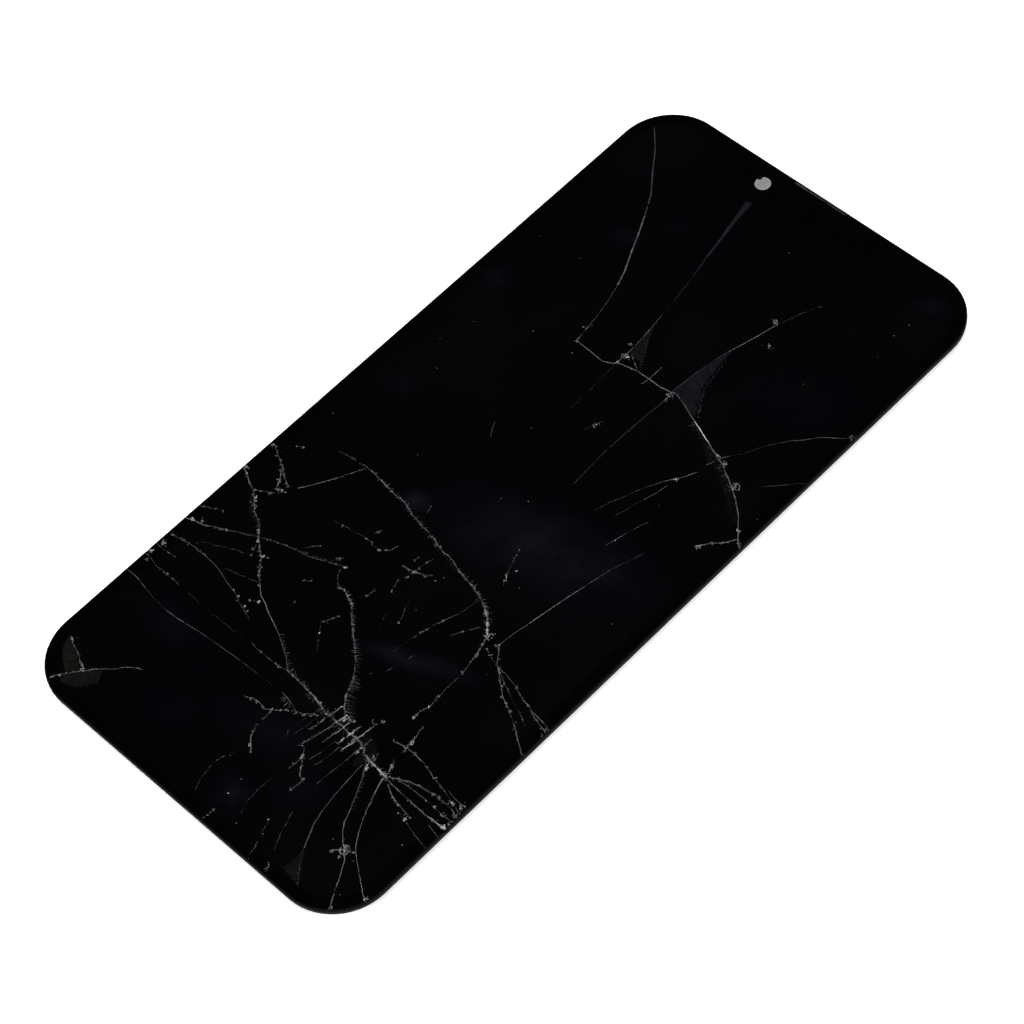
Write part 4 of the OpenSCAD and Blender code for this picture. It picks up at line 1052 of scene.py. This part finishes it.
# %% Where the feathers are
# (tones, side, length in mm, how many a mm, route)
FEATHERS = [
    ((1, 2), 1, 0.7, 3.0, [(-8, -42.6), (-6, -43.7), (-4, -44.8), (-2.6, -46), (0, -46.3), (2.5, -46.5)]),
    ((1, 2), -1, 0.6, 2.0, [(-30, -27.2), (-28.5, -28.3), (-27, -29.8), (-25.3, -30.5), (-22.5, -33.1)]),
    ((1, 1, 2), 1, 0.8, 3.0, [(1.5, -36), (3, -37.2), (4.3, -38.3), (5.3, -39.5), (6.3, -41)]),
    ((1, 1, 1, 2), 1, 1.5, 4.0, [(6, -40.6), (7, -42.5), (7.8, -44), (9, -45.3), (10.3, -46.3)]),
    ((1, 2), 1, 0.6, 2.5, [(-7, -30.9), (-6, -30.8), (-4.7, -31.2), (-3.4, -31.7), (-2.3, -32.7),
                           (0, -34.8)]),
    ((1, 2), 1, 0.7, 3.0, [(6, -17.2), (9, -17.7), (10.3, -18.3), (12.3, -19), (13.8, -20),
                           (15.2, -21.3)]),
    ((1, 2), -1, 0.6, 2.5, [(9, -17.7), (10.3, -18.3), (12.3, -19), (13.8, -20), (15.2, -21.3),
                            (16.2, -22.5)]),
    ((1,), -1, 1.1, 3.5, [(13.5, 26.1), (16, 25.2), (19, 24), (21, 23.4)]),
    ((1,), -1, 1.1, 3.0, [(21, 23.4), (22.6, 22.6), (25, 21.3), (27.3, 19.9)]),
    ((1, 2), 1, 0.7, 3.0, [(7, -47.4), (10, -47.5), (12.5, -47.6), (15, -47.6), (17, -48.7),
                           (21.8, -49.3)]),
    ((1, 1, 2), -1, 0.9, 2.5, [(3, -46.7), (7, -47.4), (10, -47.5), (12.5, -47.6), (15, -47.6),
                               (17, -48.7), (19, -49)]),
    ((1, 2), 1, 0.5, 2.5, [(-17, -30.5), (-15, -30.2), (-12.8, -29.4), (-11, -28.6), (-9.5, -28)]),
    ((1, 2), -1, 0.5, 2.5, [(21.8, -49.2), (23, -48.5), (25, -47.5), (27, -47), (29, -46.7),
                            (31, -46.6)]),
    ((1,), -1, 0.5, 3.5, [(-2.4, 33), (-1.2, 31), (0, 29.0), (0.6, 28)]),
    ((1,), 1, 0.5, 3.5, [(9.4, 37.5), (9.6, 35.5), (10.4, 31.7), (11.6, 29.4), (13.2, 27)]),
    ((1,), 1, 0.5, 3.0, [(-11.9, 30.5), (-11.6, 28.5), (-11.3, 26.2)]),
    ((1, 2), 1, 0.5, 2.5, [(-14.8, -13.2), (-12.8, -13.5), (-10, -13.6), (-8, -14.4), (-5.5, -14.8),
                           (0, -16)]),
    ((1, 2), -1, 0.5, 2.0, [(-14.8, -13.2), (-10, -13.6), (-8, -14.4), (-5.5, -14.8), (0, -16),
                            (6, -17.2)]),
    ((1, 2), 1, 0.5, 2.5, [(18.5, -50.3), (19.5, -52), (20.5, -54), (21.5, -56)]),
    ((1, 1, 2), -1, 1.0, 4.0, [(0.4, -49.4), (1.5, -49.6), (2.8, -50), (3.8, -50.2)]),
]
print(len(FEATHERS), "rows of feathers")

# %% Growing the feathers
# Widths of a barb in mm at its foot and at its tip, and how far its foot stands off the crack
BARB_FOOT, BARB_TIP, BARB_OFF = 0.1, 0.05, 0.05
draw = random.Random("feathers")
barbs = {1: [], 2: []}
for tones, side, length, a_mm, route in FEATHERS:
    for point, ahead, _ in along(route, 1 / a_mm):
        outward = Vector((-ahead.y, ahead.x)) * side
        reach = length * draw.uniform(0.3, 1.2)
        start = point + ahead * draw.uniform(-0.2, 0.2) + outward * BARB_OFF
        end = start + outward * reach + ahead * reach * draw.uniform(-0.1, 0.5)
        barb = [tuple(start), tuple(end)]
        barbs[draw.choice(tones)].append(ribbon(barb, BARB_FOOT, BARB_TIP, draw, 0.0, 0.5))
for tone, strips in barbs.items():
    keep(f"feathers_{tone}", joined(strips), TONES[tone])

# %% [markdown]
# ## Crushed glass and dust
#
# Where two cracks meet, or one turns sharply, the edges crumble to white grains. Grains sit along the
# open cracks too, and make them look dotted. A few specks of lint and dust lie elsewhere.

# %% Where the heaps, the chips and the dust are
# (x, y, half width of the heap in mm, number of grains)
HEAPS = [
    (-12.2, 28.4, 0.2, 5), (-11.2, 25.7, 0.35, 8), (-4.1, 30.6, 0.35, 12), (-3.3, 28.2, 0.4, 8),
    (-3.4, 26.6, 0.4, 10), (10.5, 48.2, 0.5, 10), (7.3, 27.3, 0.6, 22), (7.5, 26.2, 0.4, 12),
    (18.7, 16.5, 0.3, 9), (22.4, 23.2, 0.5, 14), (26.5, 21, 0.6, 16), (29.5, 9.3, 0.5, 14),
    (30.8, 11.2, 0.3, 6), (33.9, 13.6, 0.4, 9), (-26.6, -24.4, 0.7, 20), (-27.6, -26, 0.3, 6),
    (-31.9, -36.2, 0.4, 10), (11.6, -45.8, 0.3, 9), (-14.4, -40.6, 0.3, 8), (-34, -45.2, 0.3, 8),
    (17.8, -39.6, 0.35, 9), (18.3, -36.8, 0.3, 6), (16.4, -22.4, 0.8, 30), (13.2, -19.7, 0.5, 14),
    (18.5, -22.8, 0.4, 9), (20.7, -42.7, 0.4, 12), (20.6, -44, 0.4, 10), (21.2, -47.5, 0.35, 10),
    (21.4, -49.2, 0.7, 26), (33.8, -49.6, 0.5, 14), (25.8, -61.5, 0.7, 20), (14.8, -43, 0.3, 8),
    (13.7, -44, 0.25, 6), (15.6, -49.3, 0.3, 8), (18.6, -50.3, 0.3, 8), (10, -54.8, 0.4, 10),
    (2.7, -58.6, 0.35, 10), (0.8, -52.4, 0.3, 6), (-28.2, -69.1, 0.3, 7), (-28.8, -70.1, 0.3, 7),
    (11.6, -11.4, 0.15, 4), (11.2, -13.3, 0.2, 5), (5.8, -63.3, 0.1, 2), (6.1, -66.3, 0.1, 2),
    (12.8, -57.4, 0.3, 8), (33.5, -45.5, 0.6, 14), (33.8, -47.2, 0.5, 12), (32.8, -48.2, 0.4, 8),
    (7.6, -47.3, 0.4, 10), (12.8, 44, 0.9, 5), (24.5, -62.8, 0.3, 10), (25.9, -62.8, 0.3, 8),
    (25.5, -60.9, 0.25, 8), (27, -60.9, 0.2, 5), (33.7, -64.8, 0.4, 9), (31, -69.2, 0.2, 4),
    (23.3, -61.3, 0.12, 2), (-18.9, -41.7, 0.15, 4), (-17.6, -42, 0.2, 5), (-15.6, -42.6, 0.3, 9),
    (-14.6, -42.9, 0.2, 6), (3.9, -50.2, 0.25, 9), (1.9, -51.5, 0.15, 4), (2.8, -50.9, 0.12, 3),
    (6.3, -48.8, 0.2, 5), (19.2, 2.2, 0.1, 3), (-34, -45.1, 0.4, 14), (-33.6, -42.7, 0.6, 16),
    (-33.4, -46.6, 0.4, 10), (-20, -34.6, 0.3, 8), (-28.8, -27.8, 0.3, 8), (-10, -22, 0.3, 7),
    (-7.2, -22.3, 0.3, 7), (-14.6, -22.8, 0.2, 4), (0, -21.4, 0.3, 6), (-2.2, -21.9, 0.2, 4),
    (3.4, -20.6, 0.15, 3), (-33.5, -37, 0.4, 12), (-31.9, -40.6, 0.4, 10), (-16.6, -38.6, 0.25, 6),
    (10.2, 48.4, 0.5, 10), (2.3, 15.8, 0.5, 8), (-33.9, -24.9, 0.5, 12), (-34, -19.3, 0.3, 7),
    (34, 39.2, 0.4, 8), (34, -28.3, 0.4, 9), (-24, -31.8, 0.3, 8), (32.2, -45.9, 0.5, 20),
    (32.2, 15.4, 0.35, 12), (18.7, 16.3, 0.25, 10), (-27.8, -29, 0.5, 16), (-31.6, -63.8, 0.4, 12),
    (30.6, -48.1, 0.35, 10), (28.8, -52.3, 0.35, 10), (20.8, 23.5, 0.3, 8), (30.1, -46.6, 0.35, 8),
    (18.6, -50.1, 0.4, 20), (27.8, -29.5, 0.25, 6), (-33.2, -25.6, 0.3, 8), (-3, 28.5, 0.3, 8),
    (-19, -36.2, 0.3, 8), (-22.6, -33.2, 0.3, 8), (-26.3, -66.3, 0.4, 9), (5.4, -46.9, 0.3, 6),
    (10.3, -46.3, 0.5, 14), (13.6, -47.6, 0.6, 18), (17.6, -48.7, 0.6, 18), (-8.8, -27.9, 0.25, 6),
    (-3.4, -31.7, 0.25, 6), (-1, -16.1, 0.2, 5),
]
# Painted glints: grains in the brightest tone where chips catch the light, as (x, y, radius)
GLINTS = [
    (15.7, -49, 0.2), (13.8, -48.4, 0.1), (13.85, -48, 0.08), (13.7, -48.9, 0.08), (12.5, -47.7, 0.08),
    (-2.9, 28.4, 0.2), (-2.6, 28.6, 0.1), (-2.3, 28.2, 0.08), (18.7, 16.3, 0.16), (18.5, 16, 0.12),
    (22.4, 23, 0.12), (22.8, 22.6, 0.1), (32.2, -45.9, 0.14), (18.6, -50.1, 0.2), (18.3, -49.6, 0.16),
    (19.2, -48.9, 0.14), (21.6, -49.1, 0.16), (21.7, -49.9, 0.12), (15.6, -48.2, 0.14), (10, -55.2, 0.12),
    (-14.5, -40.8, 0.14), (20.6, 23.5, 0.12), (-27.4, -29.3, 0.12), (-28.2, -28.3, 0.1),
    (-3.4, -38.5, 0.14), (7.5, -47.6, 0.12), (34, -49.5, 0.14), (-34.1, -45.1, 0.16), (-33.9, -44.8, 0.1),
    (11.1, -47.4, 0.12), (-31.9, -36.2, 0.1), (30.6, -48.1, 0.1), (27.8, -29.5, 0.1), (28.8, -52.3, 0.08),
]
DUST = [
    (14, -13.3), (4.2, -1.2), (0.6, -3.5), (4, -19.4), (4.9, -26.2), (20.9, -27.3), (-26.5, 18),
    (-28.3, 12.2), (-17.8, 22.7), (-10, 23.5), (33.1, 18.7), (26.5, 58), (26.9, 61), (27.2, 53.2),
    (12, 43.6), (13.6, 44.3), (21.8, 42), (-30.3, 37.2), (10.7, -68.8), (30.4, -66.9), (28, -61.9),
    (-31.3, -53), (-29.6, -39.5), (7.6, -38.4), (-24.5, 7.7), (-31, -63.1), (31.5, -55.5), (-5, 9),
    (3, 60), (-22, 38), (20, 11), (-15, -6), (29, -9), (-31, -9),
]
print(len(HEAPS), "heaps,", len(GLINTS), "chips and", len(DUST), "specks of dust")

# %% How many grains lie along the cracks
# How likely a crumb is at each step along a crack of each tone
CRUMB_STEP = 0.3
CRUMBLY = {1: 0.03, 2: 0.2, 3: 0.8, 4: 1.0, 5: 0.0, 6: 0.04, 7: 0.0}
# How likely a small knot of grains is at each step: a share for the region, times one for the tone
KNOT_STEP = 0.95
KNOTTED = {
    "left_edge": 0.9, "middle": 0.8, "diagonal": 1.0, "right_fans": 0.5, "lower_middle": 0.6,
    "right_arc": 0.25}
KNOT_TONES = {2: 0.45, 3: 0.9, 4: 1.0}
# Half sizes in mm of the part of the glass that the beds of crushed glass and the loose grains keep to
BED_LIMIT, GRAIN_LIMIT = (34.1, 71.4), (34.35, 71.6)
print("a crumb every", round(CRUMB_STEP / CRUMBLY[3], 2), "mm of an open crack")

# %% Grains
# Half the height of a grain is at most this, in mm, and one small mesh holds this many grains
GRAIN_HEIGHT, BATCH = 0.016, 40


def grains(spots, draw, limit=GRAIN_LIMIT):
    """Small squashed stones of glass, one for each (x, y, radius) in mm, half sunk in the surface."""
    kept = [(x, y, radius) for x, y, radius in spots if abs(x) < limit[0] and abs(y) < limit[1]]
    heaps = []
    for first in range(0, len(kept), BATCH):
        bm = bmesh.new()
        for x, y, radius in kept[first:first + BATCH]:
            made = bmesh.ops.create_icosphere(bm, subdivisions=1, radius=radius * MM)["verts"]
            turn, axis = draw.uniform(0, 6.28), (draw.uniform(-1, 1), draw.uniform(-1, 1), 1)
            bmesh.ops.rotate(bm, verts=made, matrix=Matrix.Rotation(turn, 3, axis))
            stretch = (draw.uniform(0.6, 1.4), draw.uniform(0.6, 1.4), min(0.6, GRAIN_HEIGHT / radius))
            bmesh.ops.scale(bm, verts=made, vec=stretch)
            bmesh.ops.translate(bm, verts=made, vec=(x * MM, y * MM, TOP + SKIN * MM))
        heaps.append(bm)
    return joined(heaps)


# %% Strewing them
# How far grains scatter, in mm: those of a knot, those along a crack, and those along a crushed one
KNOT_SCATTER, CRUMB_SCATTER, CRUSHED_SCATTER = 0.11, 0.11, 0.18
draw = random.Random("heaps")
beds = [
    (draw.gauss(x, wide * 0.4), draw.gauss(y, wide * 0.4), min(0.22, wide * draw.uniform(0.2, 0.45)))
    for x, y, wide, _ in HEAPS if wide > 0.25 for _ in range(2)]
keep("crushed_beds", grains(beds, draw, BED_LIMIT), TONES[2])
heap_spots = [
    (draw.gauss(x, wide * 0.45), draw.gauss(y, wide * 0.45), draw.uniform(0.04, 0.12))
    for x, y, wide, count in HEAPS for _ in range(count)]
crumb_spots = []
for group in CRACKS.values():
    for tone, _, _, route in group:
        for point, ahead, _ in along(route, CRUMB_STEP):
            if draw.random() < CRUMBLY[tone]:
                aside = draw.gauss(0, CRUSHED_SCATTER if tone == 4 else CRUMB_SCATTER)
                x, y = point.x - ahead.y * aside, point.y + ahead.x * aside
                crumb_spots.append((x, y, draw.uniform(0.03, 0.085)))
knot_spots = []
for region, group in CRACKS.items():
    for tone, _, _, route in group:
        for point, ahead, _ in along(route, KNOT_STEP):
            if draw.random() < KNOTTED.get(region, 0.0) * KNOT_TONES.get(tone, 0.0):
                x = point.x + draw.uniform(-0.3, 0.3) * ahead.x
                y = point.y + draw.uniform(-0.3, 0.3) * ahead.y
                for _ in range(draw.randint(2, 5)):
                    spot = draw.gauss(x, KNOT_SCATTER), draw.gauss(y, KNOT_SCATTER), draw.uniform(0.05, 0.11)
                    knot_spots.append(spot)
LOOSE = [
    ("crack_crumbs", crumb_spots + knot_spots, crumb_glass),
    ("crushed_grains", heap_spots, grain_glass),
    ("chip_glints", GLINTS, TONES[7])]
for name, spots, material in LOOSE:
    keep(name, grains(spots, draw), material)
dust_material = finish_material("House dust and lint", "#2c2b28", "#73716b", 0.05, (0.8, 0.95))
specks = [(x, y, draw.uniform(0.05, 0.1)) for x, y in DUST]
keep("dust_specks", grains(specks, draw), dust_material)

# %% [markdown]
# ## The parts behind the glass
#
# From above only the glass and the edge of its frame show, but the module can be picked up. Each part
# behind it gets the finish of the real one.

# %% Finishes for the back
# Each row is: what it is, the parts that have it, dark and light colour, grain in mm, roughness low and
# high, relief in mm, and whether it's metal
FINISHES = [
    ("Frame, moulded black polycarbonate", ["bezel_frame"],
     "#050506", "#0d0d0e", 0.5, 0.5, 0.65, 0.004, 0),
    ("Bracket, moulded black nylon", ["sensor_bracket"], "#0c0c0d", "#1d1d1f", 0.3, 0.5, 0.7, 0.004, 0),
    ("Black pressure-sensitive adhesive", ["frame_adhesive"],
     "#060606", "#0e0e0e", 0.6, 0.45, 0.6, 0.0, 0),
    ("Black gasket foam", ["earpiece_gasket", "camera_gasket"],
     "#0e0e0f", "#2a2a2c", 0.12, 0.85, 0.95, 0.01, 0),
    ("Etched steel mesh, dark", ["earpiece_mesh"], "#2a2b2d", "#56575a", 0.2, 0.35, 0.55, 0.0, 1),
    ("Clear optical adhesive", ["optical_adhesive"], "#15171b", "#22262c", 1.0, 0.1, 0.2, 0.0, 0),
    ("Polariser film, dark", ["polariser"], "#090a10", "#12141d", 4.0, 0.12, 0.2, 0.0, 0),
    ("Touch sensor film", ["touch_film"], "#2c3036", "#454b52", 1.2, 0.15, 0.25, 0.0, 0),
    ("Display panel film", ["oled_panel"], "#07070e", "#111122", 3.0, 0.1, 0.2, 0.0, 0),
    ("Cushion foam, fine closed cell", ["cushion_foam"],
     "#1a1a1b", "#333335", 0.15, 0.85, 0.95, 0.008, 0),
    ("Rolled copper foil", ["heat_spreader"], "#a8653f", "#d99a6c", 0.4, 0.22, 0.4, 0.002, 1),
    ("Black polyester backing film", ["backing_film"], "#0b0b0c", "#19191b", 2.0, 0.35, 0.5, 0.002, 0),
    ("Graphite sheet, pressed", ["graphite_pad"], "#2e2f32", "#4d4e52", 0.25, 0.3, 0.5, 0.003, 0),
    ("Nickel-coated conductive cloth", ["ground_foil"], "#8b8a85", "#bdbbb4", 0.15, 0.35, 0.55, 0.006, 1),
    ("Polyimide display tail, amber", ["panel_tail"], "#5d3410", "#a4662a", 1.5, 0.2, 0.32, 0.0, 0),
    ("Driver chip, bare silicon", ["driver_chip"], "#2b2d36", "#474a57", 2.5, 0.12, 0.2, 0.0, 0),
    ("Black polyester tape", ["chip_cover"], "#0d0d0e", "#1f1f21", 0.8, 0.4, 0.6, 0.003, 0),
    ("Flexible circuit, black cover film", ["display_flex"],
     "#101113", "#23252a", 0.8, 0.3, 0.45, 0.003, 0),
    ("Flexible circuit, amber polyimide", ["touch_flex"],
     "#5a3611", "#9c6426", 0.9, 0.22, 0.36, 0.003, 0),
    ("Acrylic transfer tape", ["display_flex_tape", "touch_flex_tape"],
     "#8a8377", "#b5ae9f", 0.5, 0.5, 0.7, 0.004, 0),
    ("Stiffener, rolled stainless steel", ["display_stiffener", "touch_stiffener"],
     "#8f9093", "#c4c5c8", 0.2, 0.25, 0.42, 0.001, 1),
    ("Board connector, black nylon", ["display_connector", "touch_connector"],
     "#141415", "#29292b", 0.3, 0.4, 0.55, 0.003, 0),
    ("Ceramic chip parts, fired", ["flex_components"], "#6e5a45", "#b19a7c", 0.25, 0.3, 0.5, 0.003, 0),
    ("Mounting plate, stamped stainless steel", ["mount_plate"],
     "#8a8b8e", "#c1c2c5", 0.25, 0.25, 0.45, 0.002, 1),
    ("Threaded post, turned brass", ["mount_posts"], "#a98442", "#d9b873", 0.2, 0.2, 0.38, 0.002, 1),
    ("Spring clips, stamped stainless steel", ["side_clips_left", "side_clips_right"],
     "#8d8e91", "#c6c7ca", 0.2, 0.22, 0.4, 0.002, 1),
    ("Insert nuts, nickel-plated brass", ["bottom_nuts"], "#9b9789", "#cfcbbd", 0.2, 0.2, 0.36, 0.002, 1),
]
print(len(FINISHES), "finishes")

# %% Dressing the back
# How strongly a part mirrors, where that isn't usual
SHINE = {"bezel_frame": 0.07, "frame_adhesive": 0.07}
dressed = set()
for name, parts, dark, light, size, rough_low, rough_high, relief, metal in FINISHES:
    shine = SHINE.get(parts[0], USUAL_SHINE)
    finish = finish_material(name, dark, light, size, (rough_low, rough_high), relief, float(metal), shine)
    for part in parts:
        nodes[part].data.materials.clear()
        nodes[part].data.materials.append(finish)
        dressed.add(part)
print("still undressed:", sorted(set(nodes) - dressed - {"cover_glass"}))
